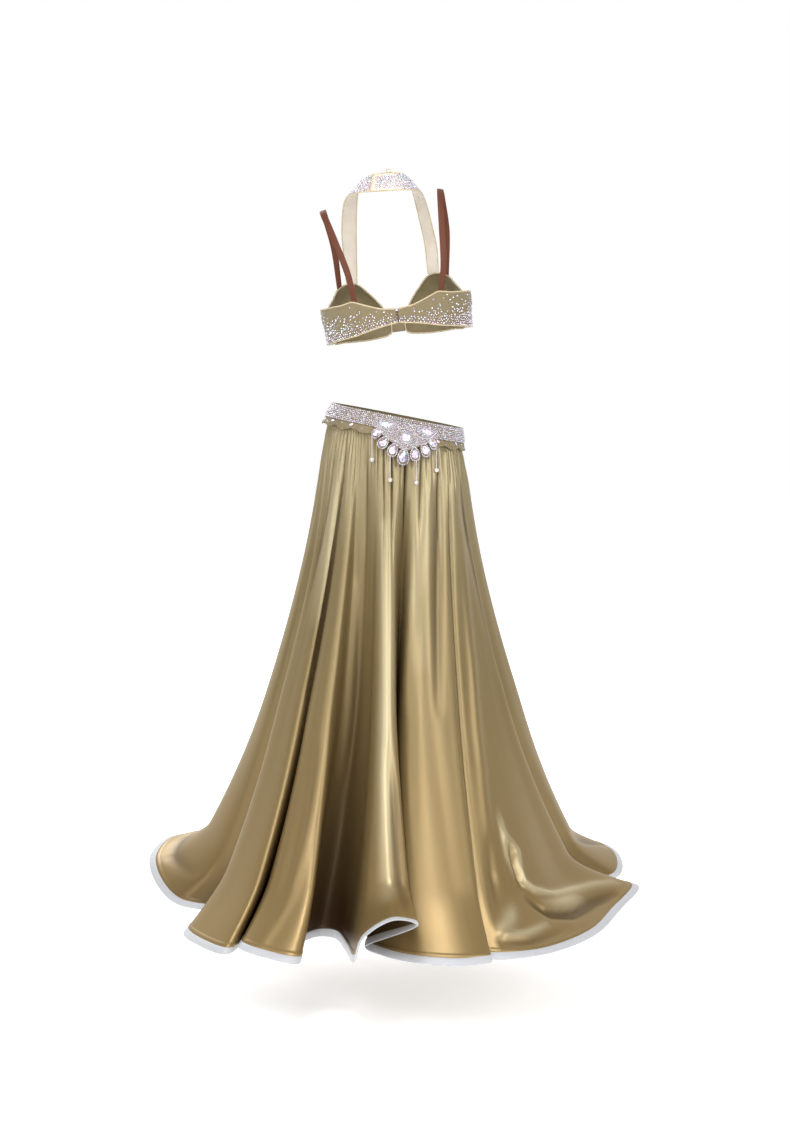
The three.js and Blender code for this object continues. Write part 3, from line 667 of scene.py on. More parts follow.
@dataclass
class StoneTray:
    """Gathers stones of all cuts and sets them as one joined mesh, with a colour for each facet that holds
    painted glints.
    """

    seed: int
    tints: tuple[Triple, ...] = (
        (0.94, 0.93, 0.96),
        (0.84, 0.84, 0.88),
        (0.62, 0.46, 0.86),
        (0.92, 0.50, 0.78),
        (0.42, 0.80, 0.90),
        (0.80, 0.74, 0.60),
        (0.30, 0.24, 0.36),
    )
    shares: tuple[float, ...] = (0.36, 0.16, 0.15, 0.12, 0.08, 0.05, 0.08)
    large_shares: tuple[float, ...] = (0.24, 0.08, 0.22, 0.2, 0.14, 0.03, 0.09)
    # painted glints: how bright a facet is, the least and the most
    small_top_glint: tuple[float, float] = (0.5, 1.3)
    small_side_glint: tuple[float, float] = (0.12, 0.7)
    large: tuple[float, float] = (0.2, 1.35)
    # share of the stone's own tint in a facet's
    small_own: tuple[float, float] = (1.0, 0.3)  # on top, and on the sides
    large_own: float = 0.12
    points: list[Array] = field(default_factory=list)
    faces: list[Indices] = field(default_factory=list)
    colours: list[Array] = field(default_factory=list)
    total: int = 0

    def __post_init__(self) -> None:
        """Starts the tray's own row of chance numbers."""
        self.chance = np.random.default_rng(self.seed)

    @staticmethod
    def pattern(cut: Cut) -> Solid:
        """Unit stone, with half sizes of 1 across and along and a height of 1.

        Args:
            cut: Its shape.

        Returns:
            The points and the triangles.
        """
        levels = {
            Cut.CHATON: ((0.96, -0.35), (1.0, 0.2), (0.52, 1.0)),
            Cut.ROUND: ((0.92, -0.3), (1.0, 0.25), (0.8, 0.68), (0.5, 1.0)),
            Cut.NAVETTE: ((0.92, -0.3), (1.0, 0.25), (0.72, 0.72), (0.4, 1.0)),
            Cut.PEAR: ((0.92, -0.3), (1.0, 0.25), (0.76, 0.7), (0.45, 1.0)),
            Cut.SQUARE: ((0.94, -0.3), (1.0, 0.3), (0.62, 1.0)),
            Cut.BEAD: ((0.5, -0.87), (0.87, -0.5), (1.0, 0.0), (0.87, 0.5), (0.5, 0.87)),
        }[cut]
        sides = {Cut.CHATON: 6, Cut.SQUARE: 8, Cut.BEAD: 8}.get(cut, 12)
        rings = []
        for level, (scale, height) in enumerate(levels):
            step = 0.0 if cut is Cut.BEAD else 0.5 * max(level - 1, 0)
            angle = 2 * np.pi * (np.arange(sides) + step) / sides
            x, y = np.cos(angle), np.sin(angle)
            if cut is Cut.NAVETTE:
                x = x * (1.0 - 0.35 * np.abs(y) ** 2)
            if cut is Cut.PEAR:
                x = x * (1.0 - 0.3 * np.clip(y, 0.0, 1.0) ** 1.2 * 2.0)
            if cut is Cut.SQUARE:
                reach = 0.88 / np.maximum(np.abs(x), np.abs(y)) ** 0.7
                x, y = x * reach, y * reach
            rings.append(np.column_stack([scale * x, scale * y, np.full(sides, height)]))
        ends = np.array([(0, 0, rings[0][0, 2]), (0, 0, rings[-1][0, 2])])
        if cut is Cut.BEAD:
            ends[:, 2] = (-1.0, 1.0)
        points = np.concatenate([*rings, ends])
        bottom, top = len(points) - 2, len(points) - 1
        triangles = []
        for level in range(len(rings) - 1):
            for i in range(sides):
                a, b = level * sides + i, level * sides + (i + 1) % sides
                triangles += [(a, b, b + sides), (a, b + sides, a + sides)]
        last = (len(rings) - 1) * sides
        for i in range(sides):
            triangles.append((bottom, (i + 1) % sides, i))
            triangles.append((top, last + i, last + (i + 1) % sides))
        return points, np.array(triangles)

    def add(
        self, cut: Cut, spots: Array, across: Array, normals: Array, wide: Amount, long: Amount, high: Amount
    ) -> None:
        """Sets stones of one cut.

        Args:
            cut: Their shape.
            spots: Where each one sits on its cloth.
            across: Direction of each one's width.
            normals: Direction that each one faces.
            wide: Width of each, or of all.
            long: Length of each, or of all.
            high: Height over the cloth of each, or of all.
        """
        unit_points, triangles = self.pattern(cut)
        normals = unit(normals)
        across = unit(across - normals * np.sum(across * normals, axis=1, keepdims=True))
        along = np.cross(normals, across)
        count = len(spots)
        sizes = np.stack([np.broadcast_to(size, count) for size in (wide / 2, long / 2, high)], axis=1)
        local = unit_points[None] * sizes[:, None, :]
        axes = np.stack([across, along, normals], axis=1)
        placed = spots[:, None, :] + np.einsum("nvi,nij->nvj", local, axes)
        first = self.total + np.arange(count)[:, None, None] * len(unit_points)
        self.points.append(placed.reshape(-1, 3))
        self.faces.append((triangles[None] + first).reshape(-1, 3))
        self.total += count * len(unit_points)
        shares = self.shares if cut in (Cut.CHATON, Cut.BEAD) else self.large_shares
        tints, kinds = np.array(self.tints), len(self.tints)
        base = tints[self.chance.choice(kinds, count, p=shares)]
        other = tints[self.chance.choice(kinds, (count, len(triangles)), p=shares)]
        # painted glints: the top facet of a small stone bright and its sides darker; each facet of a large
        # stone bright or dark by chance
        table = (unit_points[triangles][..., 2].min(axis=1) > 0.9)[None, :, None]
        if cut in (Cut.CHATON, Cut.BEAD):
            painted_flash = self.chance.uniform(*self.small_top_glint, (count, 1, 1))
            sides = self.chance.uniform(*self.small_side_glint, (count, len(triangles), 1))
            painted_glint = np.where(table, painted_flash, sides)
            own = np.where(table, *self.small_own)
        else:
            painted_glint = self.chance.uniform(*self.large, (count, len(triangles), 1))
            own = self.large_own
        tint = (own * base[:, None, :] + (1 - own) * other) * painted_glint
        self.colours.append(np.clip(tint, 0.0, 1.0).reshape(-1, 3))

    def strew(
        self, centres: Array, across: Array, normals: Array, size: Amount, tip: float, high: float = 0.42
    ) -> None:
        """Sets small round stones, each of them tipped a little by chance."""
        tipped = normals + self.chance.normal(0, tip, normals.shape)
        self.add(Cut.CHATON, centres, across, tipped, size, size, size * high)

    def set_out(self, name: str, material: Material, slot: str = "crystal", *nodes: str) -> Piece:
        """Makes the joined mesh of all stones in the tray, as a piece of the costume."""
        faces = np.concatenate(self.faces)
        made = mesh_object(name, np.concatenate(self.points), faces, material, crease=0.0)
        # the facet colours, painted glints included
        layer = made.data.color_attributes.new("facet", "FLOAT_COLOR", "CORNER")
        tint = np.repeat(np.concatenate(self.colours), 3, axis=0)
        whole = np.column_stack([tint, np.ones(len(tint))])
        layer.data.foreach_set("color", whole.astype(np.float32).ravel())
        return dress(made, slot, *nodes)


def beads_along(line: Array, pitch: float) -> Array:
    """Points an even distance apart along a line of points."""
    travel = travelled(line)
    count = max(2, int(round(travel[-1] / pitch)))
    wanted = (np.arange(count) + 0.5) * travel[-1] / count
    return np.column_stack([np.interp(wanted, travel, line[:, i]) for i in range(3)])


# The skirt

# The folds, anticlockwise from above. Each row is the crest or the valley of a fold, in degrees and
# millimetres. A turn is the angle from +X and out is the distance from the upright axis, at the belt,
# at the middle row and at the hem. The last two are what the last stretch adds at the hem:
# belt turn, middle turn, middle out, hem turn, hem out, hem height, flip out, flip up
FOLD_ROWS = [
    (-40, -40, 176, -41.5, 326, -886, 8, 0),
    (-28, -28, 208, -35.5, 432, -838, 48, 22),
    (-16, -17, 224, -26, 470, -812, 62, 34),
    (-6, -6, 236, -11, 462, -832, 50, 22),
    (8, 7, 230, 4, 398, -878, 34, 6),
    (18, 15, 200, 9, 300, -892, 10, 0),
    (23, 18, 206, 20, 332, -895, 12, 0),
    (28, 24, 232, 29.7, 420, -884, 30, 2),
    (37, 33, 231, 40, 440, -885, 30, 2),
    (45, 41.6, 226, 50.4, 446, -886, 24, 0),
    (47.5, 37.6, 191, 42.4, 354, -892, 10, 0),
    (50, 43.6, 217, 53.6, 436, -875, 26, 8),
    (53, 50, 227, 60, 438, -881, 26, 6),
    (56, 58.2, 224, 67.2, 426, -888, 20, 0),
    (60, 56, 172, 56, 300, -892, 0, 0),
    (65, 61, 150, 57.5, 250, -888, 0, 0),
    (70, 68, 158, 64, 246, -888, 0, 0),
    (74, 74, 176, 73, 298, -894, 10, 0),
    (77, 77, 196, 79.4, 388, -887, 24, 0),
    (80, 82, 213, 82.6, 432, -840, 44, 40),
    (84, 86, 214, 89, 452, -806, 56, 58),
    (89, 88.8, 204, 94.2, 430, -818, 44, 48),
    (100, 88.6, 142, 80, 305, -884, 0, 0),
    (106, 91, 176, 86, 346, -886, 8, 0),
    (110, 94, 198, 92, 378, -887, 14, 0),
    (116, 100, 212, 98.5, 400, -888, 20, 0),
    (123, 107, 217, 105, 413, -889, 22, 0),
    (131, 114, 216, 110, 414, -888, 22, 0),
    (139, 120, 214, 112.2, 410, -888, 20, 0),
    (141, 119.2, 190, 112.2, 392, -888, 14, 0),
    (143, 123.6, 204, 115.4, 404, -888, 20, 0),
    (148, 131, 207, 126, 416, -888, 34, 10),
    (153, 141, 208, 143, 414, -880, 46, 18),
    (157, 150, 212, 158, 408, -866, 56, 26),
    (161, 157, 216, 174, 427, -846, 66, 34),
    (165, 161, 200, 184, 352, -866, 16, 0),
    (171, 171, 214, 190, 412, -852, 34, 16),
    (179, 179, 222, 203, 447, -834, 50, 24),
    (187, 187, 214, 216, 459, -840, 46, 20),
    (195, 194, 182, 216, 352, -880, 10, 0),
    (201, 201, 216, 226, 436, -866, 34, 10),
    (207, 207, 213, 235, 430, -880, 26, 4),
    (214, 213, 178, 238.5, 330, -892, 0, 0),
    (220, 218, 206, 244, 424, -868, 30, 12),
    (228, 226, 208, 254, 436, -850, 42, 22),
    (236, 234.5, 170, 259, 318, -892, 0, 0),
    (242, 241, 204, 265, 420, -890, 20, 2),
    (249, 249, 205, 275, 430, -882, 26, 6),
    (257, 258.5, 166, 280.5, 322, -892, 0, 0),
    (264, 265, 200, 286, 424, -866, 34, 14),
    (272, 274, 206, 295.5, 438, -852, 46, 26),
    (280, 283, 172, 299, 318, -892, 0, 0),
    (288, 290, 206, 305, 428, -884, 24, 4),
    (298, 300, 214, 314, 436, -880, 30, 8),
]

# Valleys between the small gathers under the yoke: the turn at the belt in degrees, and how far down
# the valley is clear, in millimetres. The back follows the photo and the front is alike.
GATHER_ROWS = [
    (-38, 150), (-33, 90), (-29, 120), (-24, 210), (-20, 80), (-15, 130), (-11, 70), (-6, 190), (-2, 90),
    (2, 120), (7, 160), (12, 80), (15, 200), (19, 90), (24, 70), (28, 120), (34, 260), (38, 110),
    (41.5, 90), (46.5, 230), (50, 80), (53, 100), (55.8, 160), (58, 70), (60.7, 120), (63.5, 80),
    (66.2, 190), (70.3, 110), (73, 60), (75.8, 130), (81.2, 150), (84, 60), (87.3, 210), (92.3, 90),
    (95.7, 130), (99.5, 240), (105.3, 100), (109.5, 70), (113.8, 160), (118.9, 90), (123.3, 130),
    (129.9, 220), (134, 110), (140.2, 300), (144, 70), (147.2, 140), (151.6, 90), (155, 70), (158.9, 180),
    (164, 90), (170, 140), (175, 80), (179, 120), (186, 170), (191, 90), (198, 130), (203, 80),
    (208, 200), (213, 110), (220, 90), (226, 150), (231, 80), (237, 210), (244, 100), (249, 130),
    (255, 90), (261, 170), (266, 80), (271, 120), (278, 200), (283, 90), (289, 140), (295, 110),
    (301, 170), (308, 90), (314, 130),
]


@dataclass(frozen=True)
class Crease:
    """A soft ridge or trough of the cloth along a line of spots, and the painted highlight along it."""

    spots: tuple[tuple[float, float], ...]  # place in the fold table, and depth below the top edge
    height: float  # metres, below 0 for a trough
    width: float  # half of its width, in metres
    painted_highlight: float = 0.0  # how much painted highlight lies along it


CREASES = (
    # the swirl at the lower right of the back: two rims with painted highlights, the shelf and what lies in
    # between
    Crease(((31.2, 650), (31.19, 680), (31.15, 716), (31.19, 745)), 0.004, 0.007, 0.8),
    Crease(
        (
            (31.28, 685), (31.5, 712), (31.38, 740), (31.38, 760), (31.58, 778),
            (31.98, 794), (32.69, 806), (33.35, 824), (33.7, 842),
        ),
        0.008, 0.0065, 1.0,
    ),
    Crease(((31.24, 700), (31.25, 734), (31.28, 765)), -0.007, 0.006),
    Crease(((31.7, 806), (32.1, 812), (32.7, 820)), 0.006, 0.011, 0.7),
    Crease(((31.32, 790), (31.56, 816), (31.98, 830), (32.89, 838), (33.4, 850)), -0.010, 0.008),
    Crease(((30.75, 800), (30.52, 816), (30.17, 836)), 0.006, 0.010, 0.7),
    Crease(((30.17, 838), (30.8, 838), (31.36, 831)), 0.004, 0.005, 0.8),
    Crease(((30.1, 848), (30.8, 850), (31.7, 845)), -0.004, 0.006),
    Crease(((30.6, 680), (30.4, 740), (30.3, 800)), -0.004, 0.009),
    # the curls at the two sides of the back
    Crease(((1.6, 800), (2.3, 830), (3.1, 836), (3.8, 822)), -0.006, 0.014),
    Crease(((36.3, 780), (36.9, 815), (37.3, 850)), -0.006, 0.014),
    # painted highlights down the middle and the upper back, over little or no ridge
    Crease(
        ((19.7, 170), (19.76, 296), (19.76, 404), (19.6, 500), (19.6, 608), (19.68, 704), (19.8, 800)),
        0.001, 0.015, 0.8,
    ),
    Crease(((8.8, 50), (8.87, 103), (8.78, 155), (8.64, 240), (8.7, 330)), 0.0, 0.018, 0.6),
    Crease(((25.1, 56), (24.99, 181), (24.46, 284), (25.2, 392)), 0.0, 0.016, 0.35),
    # long soft lines of the panels
    Crease(((12.8, 560), (12.6, 650), (12.4, 720), (12.2, 780), (11.8, 850)), 0.004, 0.012),
    Crease(((14.4, 280), (14.45, 420), (14.6, 600)), 0.005, 0.012),
    Crease(((20.1, 560), (20.3, 640), (20.4, 740), (20.5, 850)), -0.006, 0.012),
    Crease(((26.5, 90), (26.5, 200), (26.4, 330), (26.3, 470)), -0.005, 0.010),
    Crease(((24.3, 120), (24.0, 300), (23.6, 470)), 0.004, 0.014),
    Crease(((31.6, 170), (31.3, 400), (30.9, 560), (30.5, 740)), 0.005, 0.011),
    Crease(((33.6, 90), (33.7, 230), (33.9, 420)), -0.004, 0.012),
    Crease(((9.6, 110), (9.5, 280), (9.3, 470)), -0.004, 0.010),
    # the same kinds on the front
    Crease(((41.2, 120), (41.0, 300), (40.8, 520)), -0.005, 0.012),
    Crease(((43.4, 610), (43.6, 740), (44.0, 850)), 0.005, 0.014, 0.3),
    Crease(((46.2, 90), (46.4, 260), (46.4, 430)), -0.004, 0.011),
    Crease(((49.4, 540), (49.2, 680), (49.5, 840)), -0.006, 0.013),
    Crease(((52.6, 130), (52.7, 330), (52.6, 520)), 0.005, 0.012, 0.3),
    Crease(((1.0, 100), (1.2, 260), (1.1, 440)), -0.004, 0.012),
)


@dataclass(frozen=True)
class Gathering:
    """One level of gathers: all of them close to the yoke, or only the long ones below it."""

    least: float  # reach of the shortest gather that counts, in millimetres
    root: float  # height at the yoke
    height: float
    growth: float  # more height for each metre that a gather reaches
    full_depth: float
    fade: float  # share of the reach at which it has mostly gone


@dataclass
class Drape:
    """The surface of the skirt: a belt line, a middle line and a hem line, and what joins them."""

    top_width: float = 0.121
    top_depth: float = 0.096
    top_drop: float = 0.028
    lean: float = 11.0
    middle_height: float = -0.519
    bend_above: float = 0.40
    bend_below: float = 0.32
    hem_height: float = -0.890
    flip_length: float = 0.100
    root_depth: float = 0.010
    levels: tuple[Gathering, ...] = (
        Gathering(least=0.0, root=0.0010, height=0.0004, growth=0.011, full_depth=0.028, fade=0.5),
        Gathering(least=145.0, root=0.0, height=0.0015, growth=0.010, full_depth=0.080, fade=0.7),
    )
    column_pitch: float = 0.0047
    first_folds: tuple[int, ...] = (0, 5, 15, 30, 39, 47)
    wall: float = 0.0012
    lip_height: float = 0.0009
    lip_width: float = 0.006
    seam_gap: float = 0.00004
    ease: float = 0.03  # how far apart the depths are that are averaged near the middle line
    ease_reach: float = 0.13
    flip_ease: float = 0.6  # how early the hem starts to turn up
    # a gather's height by the room that it has, least and most; its lean to one side, and its puff
    gather_room: tuple[float, float] = (0.4, 1.3)
    gather_lean: tuple[float, float] = (0.72, 0.6)
    lean_pace: float = 0.618
    gather_puff: tuple[float, float] = (0.55, 0.6)
    puff_depth: float = 0.2
    crease_end: float = 0.08  # how much of a crease's length is left out at each end
    # painted shade: how much falls in deep folds, pinched gathers, and troughs
    painted_shade_reach: float = 0.11
    painted_shade_depth: float = 0.026
    painted_shade_growth: float = 0.07
    painted_shade_from: float = 0.25
    painted_shade_span: float = 0.9
    pinch_depth: float = 0.0026
    pinch_from: float = 0.15
    pinch_painted_shade: float = 0.5
    trough_depth: float = 0.008
    trough_painted_shade: float = 0.6

    def __post_init__(self) -> None:
        """Reads the fold table and lays out the rows and the columns."""
        table = np.array(FOLD_ROWS, dtype=float)
        turn = np.radians(table[:, 0])
        ring = [self.top_width * np.cos(turn), self.top_depth * np.sin(turn), 0 * turn - self.top_drop]
        top = np.column_stack(ring)
        self.belt_turns = table[:, 0]
        self.belt_line = leaned(top, self.lean)
        self.middle_line = self.polar(table[:, 1], table[:, 2] * MM, self.middle_height)
        self.hem_line = self.polar(table[:, 3], table[:, 4] * MM, table[:, 5] * MM)
        self.flip_line = self.polar(table[:, 3], table[:, 6] * MM, table[:, 7] * MM)
        self.length = -self.hem_height - self.top_drop
        self.depths = self.row_depths()
        self.lay_columns()
        self.lay_cloth()

    @staticmethod
    def polar(turn: Array, out: Array, height: Amount) -> Array:
        """Points at turns in degrees and distances from the upright axis."""
        angle = np.radians(turn)
        return np.column_stack([out * np.cos(angle), out * np.sin(angle), height * np.ones(len(turn))])

    def row_depths(self) -> Array:
        """Depths of the rows of points below the top edge, closer at the gathers and at the hem."""
        end = self.length
        low = (0.68, end - 0.012, 0.0044)
        stretches = ((0.0, 0.07, 0.0035), (0.07, 0.2, 0.0065), (0.2, 0.68, 0.012), low)
        rows = [np.arange(first, last - step / 2, step) for first, last, step in stretches]
        return np.concatenate([*rows, np.linspace(end - 0.011, end, 10)])

    def lay_columns(self) -> None:
        """Spaces the columns of points evenly along the hem of each gore."""
        count = len(self.hem_line)
        ends = (*self.first_folds[1:], count)
        places, starts = [], []
        for first, last in zip(self.first_folds, ends):
            fine = np.linspace(first, last, (last - first) * 40 + 1)
            line = curve(self.hem_line, fine, True)
            travel = travelled(line)
            steps = int(round(travel[-1] / self.column_pitch))
            starts.append(sum(len(p) for p in places))
            places.append(np.interp(np.arange(steps) * travel[-1] / steps, travel, fine))
        self.places = np.concatenate(places)
        self.starts = [*starts, len(self.places)]

    def bare(self, places: Array, depths: Array) -> Array:
        """Cloth without gathers, as rows, columns and axes."""
        top = curve(self.belt_line, places, True)
        middle = curve(self.middle_line, places, True)
        flip = curve(self.flip_line, places, True)
        hem = curve(self.hem_line, places, True) - flip
        share = (depths / self.length)[:, None, None]
        half = (-self.middle_height - self.top_drop) / self.length
        above = np.clip(share / half, 0.0, 1.0)
        below = np.clip((share - half) / (1.0 - half), 0.0, 1.0)
        above = (1 - self.bend_above) * above + self.bend_above * above * above
        below = (1 - self.bend_below) * below + self.bend_below * below * below
        points = np.where(share < half, top + (middle - top) * above, middle + (hem - middle) * below)
        points[..., 2] = (top[:, 2] + (hem[:, 2] - top[:, 2]) * share[..., 0])
        flip_share = self.flip_length / self.length
        turned = np.clip((share - 1 + flip_share) * self.length / self.flip_length, 0, 1)
        return points + flip * turned * turned * (1 + self.flip_ease - self.flip_ease * turned)

    def eased(self, places: Array, depths: Array) -> Array:
        """The bare cloth, with the bend of each fold at the middle line made soft."""
        middle = -self.middle_height - self.top_drop
        step = self.ease * np.exp(-(((depths - middle) / self.ease_reach) ** 2))
        shares = ((-2, 1 / 16), (-1, 4 / 16), (0, 6 / 16), (1, 4 / 16), (2, 1 / 16))
        return sum(share * self.bare(places, depths + count * step) for count, share in shares)

    def gathers(self, places: Array, depths: Array) -> Array:
        """Height of the small gathers, as rows and columns.

        Args:
            places: Places in the fold table.
            depths: Depths below the top edge.

        Returns:
            How far each point stands out.
        """
        table = np.array(GATHER_ROWS, dtype=float)
        turns = np.append(self.belt_turns, self.belt_turns[0] + 360.0)
        turn = np.interp(places, np.arange(len(turns)), turns)
        depth = depths[:, None]
        total = np.zeros((len(depths), len(places)))
        for level in self.levels:
            rows = table[table[:, 1] >= level.least]
            around = np.concatenate([rows[-1:] - (360.0, 0.0), rows, rows[:1] + (360.0, 0.0)])
            index = np.clip(np.searchsorted(around[:, 0], turn, side="right") - 1, 0, len(around) - 2)
            low, high = around[index], around[index + 1]
            gap = high[:, 0] - low[:, 0]
            share = (turn - low[:, 0]) / gap
            eased = smooth(share)
            reach = (low[:, 1] * (1 - eased) + high[:, 1] * eased) * MM
            room = np.clip(gap * len(rows) / 360.0, *self.gather_room)
            full = (level.height + level.growth * reach) * room
            grown = smooth((depth - self.root_depth) / (level.full_depth - self.root_depth))
            past = np.clip(depth - level.full_depth, 0.0, None) / (level.fade * reach)
            height = (level.root + (full - level.root) * grown) * np.exp(-(past**2))
            skew = self.gather_lean[0] + self.gather_lean[1] * np.mod(index * self.lean_pace, 1.0)
            power = self.gather_puff[0] + self.gather_puff[1] * smooth(depth / self.puff_depth)
            total += height * (2.0 * np.sin(np.pi * share**skew) ** power - 1.0)
        return total

    def creased(self, base: Array) -> tuple[Array, Array]:
        """Height of the single creases and their painted highlight, as rows and columns."""
        steps = np.linalg.norm(np.diff(base, axis=1), axis=2)
        along = np.concatenate([np.zeros((len(base), 1)), np.cumsum(steps, axis=1)], axis=1)
        height, painted_highlight = np.zeros(base.shape[:2]), np.zeros(base.shape[:2])

        def across(place: float) -> Array:
            """Distance along each row to a place."""
            return np.array([np.interp(place, self.places, row) for row in along])

        for crease in CREASES:
            places, depths = np.array(crease.spots).T
            depths = depths * MM
            zero = across(float(np.mean(places)))
            flat_x = along - zero[:, None]
            spots_x = np.array(
                [np.interp(d, self.depths, across(p) - zero) for p, d in zip(places, depths)]
            )
            nearest = np.full(base.shape[:2], np.inf)
            share = np.zeros(base.shape[:2])
            for i in range(len(places) - 1):
                start = np.array([spots_x[i], depths[i]])
                step = np.array([spots_x[i + 1], depths[i + 1]]) - start
                x, y = flat_x - start[0], self.depths[:, None] - start[1]
                t = np.clip((x * step[0] + y * step[1]) / (step @ step), 0.0, 1.0)
                distance = np.hypot(x - t * step[0], y - t * step[1])
                closer = distance < nearest
                nearest = np.where(closer, distance, nearest)
                share = np.where(closer, (i + t) / (len(places) - 1), share)
            inside = self.crease_end + (1 - 2 * self.crease_end) * share
            taper = np.sin(np.pi * np.clip(inside, 0.0, 1.0)) ** 0.7
            form = taper * np.exp(-((nearest / crease.width) ** 2))
            height += crease.height * form
            painted_highlight = np.maximum(painted_highlight, crease.painted_highlight * form)
        return height, painted_highlight

    def lay_cloth(self) -> None:
        """Lays the whole skirt as one ring of points, with its normals and its way down."""
        ring = np.append(self.places, len(self.hem_line))
        base = self.eased(ring, self.depths)
        gathers = self.gathers(ring, self.depths)
        points = base + unit(base * (1.0, 1.0, 0.0)) * gathers[..., None]
        height, painted_highlight = self.creased(base[:, :-1])
        points[:, :-1] += normals_of(base)[:, :-1] * height[..., None]
        points[:, -1] = points[:, 0]
        wide = np.concatenate([points[:, -2:-1], points, points[:, 1:2]], axis=1)
        self.normals = normals_of(wide)[:, 1:-1]
        self.along = unit(np.gradient(wide, axis=1)[:, 1:-1])
        edge = np.clip((self.depths - (self.length - self.lip_width)) / self.lip_width, 0.0, 1.0)
        lip = self.lip_height * np.sin(np.pi * edge) ** 0.8
        self.points = points + self.normals * lip[:, None, None]
        self.down = unit(points[-1] - points[-4])
        # painted highlight along the creases, and painted shade in deep folds, pinched gathers and troughs
        self.painted_highlights = np.concatenate([painted_highlight, painted_highlight[:, :1]], axis=1)
        low = np.concatenate([height, height[:, :1]], axis=1)
        pinch_shade = self.pinch_painted_shade * smooth(-gathers / self.pinch_depth - self.pinch_from)
        trough_shade = self.trough_painted_shade * smooth(-low / self.trough_depth)
        self.painted_shades = np.maximum(np.maximum(self.painted_shade_share(base), pinch_shade), trough_shade)
        self.travel = travelled(points[-1])

    def painted_shade_share(self, base: Array) -> Array:
        """Painted shade for how far each point lies back in a fold, from 0 on the crests to 1 deep in the
        valleys.
        """
        ring = np.hypot(base[..., 0], base[..., 1])[:, :-1]
        reach = int(self.painted_shade_reach / self.column_pitch)
        crests = ring
        for step in range(-reach, reach + 1, 3):
            crests = np.maximum(crests, np.roll(ring, step, axis=1))
        near = range(-reach // 2, reach // 2 + 1)
        level = sum(np.roll(crests, step, axis=1) for step in near) / len(near)
        back = (level - ring) / (self.painted_shade_depth + self.painted_shade_growth * self.depths[:, None])
        share = smooth((back - self.painted_shade_from) / self.painted_shade_span)
        return np.concatenate([share, share[:, :1]], axis=1)

    def part(self, index: int) -> slice:
        """Columns of one gore, both seams included."""
        return slice(self.starts[index], self.starts[index + 1] + 1)

    def parted(self, points: Array, along: Array) -> Array:
        """Points of one gore, drawn in at both seams by half of the gap between gores."""
        moved = points.copy()
        moved[..., 0, :] += along[..., 0, :] * self.seam_gap / 2
        moved[..., -1, :] -= along[..., -1, :] * self.seam_gap / 2
        return moved


@dataclass
class Skirt:
    """Six gores of satin and the braid on their hems."""

    drape: Drape = field(default_factory=Drape)
    names: tuple[str, ...] = ("left", "back_left", "back", "right", "front_right", "front_left")
    # each gore's cut: its width at the hem, its length, and its area in square metres
    flats: Table = (
        (0.59, 0.92, 0.235), (0.87, 0.93, 0.32), (0.85, 0.905, 0.34), (0.94, 0.905, 0.305),
        (0.80, 0.92, 0.275), (0.75, 0.93, 0.295),
    )
    braid_width: float = 0.014
    braid_wall: float = 0.003
    # share of the braid's width, and of its wall
    braid_profile: Table = (
        (0.0, 0.4), (0.12, 0.75), (0.3, 0.98), (0.55, 1.0), (0.8, 0.92), (0.93, 0.7), (1.0, 0.25),
    )

    def gore(self, index: int, material: Material) -> Piece:
        """Makes one gore.

        Args:
            index: Its number, anticlockwise from the left.
            material: The satin.

        Returns:
            The piece.
        """
        drape = self.drape
        part = drape.part(index)
        outer = drape.parted(drape.points[:, part], drape.along[:, part])
        solid = shell(outer, outer - drape.normals[:, part] * drape.wall)
        uv = flat_places(drape.travel[part], drape.depths[:, None], outer.shape[:2])
        name = self.names[index]
        made = mesh_object(f"satin_{name}", *solid, material, uv)
        # the fold colours: painted shade in red and painted highlight in green
        painted_shade, painted_highlight = (np.tile(grid[:, part].ravel(), 2) for grid in (drape.painted_shades, drape.painted_highlights))
        tint = np.column_stack([painted_shade, painted_highlight, 0 * painted_shade, 0 * painted_shade + 1])
        layer = made.data.color_attributes.new("fold_light", "FLOAT_COLOR", "POINT")
        layer.data.foreach_set("color", tint.astype(np.float32).ravel())
        return dress(made, "satin", f"skirt_{name}")

    def braid(self, index: int, material: Material) -> Piece:
        """Makes the braid on one gore's hem, a soft flat band with a rounded edge."""
        drape = self.drape
        part = drape.part(index)
        normals, along, down = drape.normals[-1, part], drape.along[-1, part], drape.down[part]
        start = drape.parted(drape.points[-1, part] - normals * drape.wall / 2, along)
        shares, fullness = np.array(self.braid_profile).T
        reach = drape.seam_gap + shares * (self.braid_width - drape.seam_gap)
        sides = [
            start[None] + down[None] * reach[:, None, None]
            + side * normals[None] * (fullness * self.braid_wall / 2)[:, None, None]
            for side in (1, -1)
        ]
        uv = flat_places(drape.travel[part], reach[:, None], sides[0].shape[:2])
        name = self.names[index]
        made = mesh_object(f"hem_braid_{name}", *shell(*sides), material, uv, 70.0)
        return dress(made, "horsehair", f"braid_{name}")

    def build(self) -> None:
        """Builds every gore with its braid."""
        satin, horsehair = Satin().make(), Horsehair().make()
        for index in range(len(self.names)):
            gore = self.gore(index, satin)
            braid = self.braid(index, horsehair)
            width, length, area = self.flats[index]


# The belt


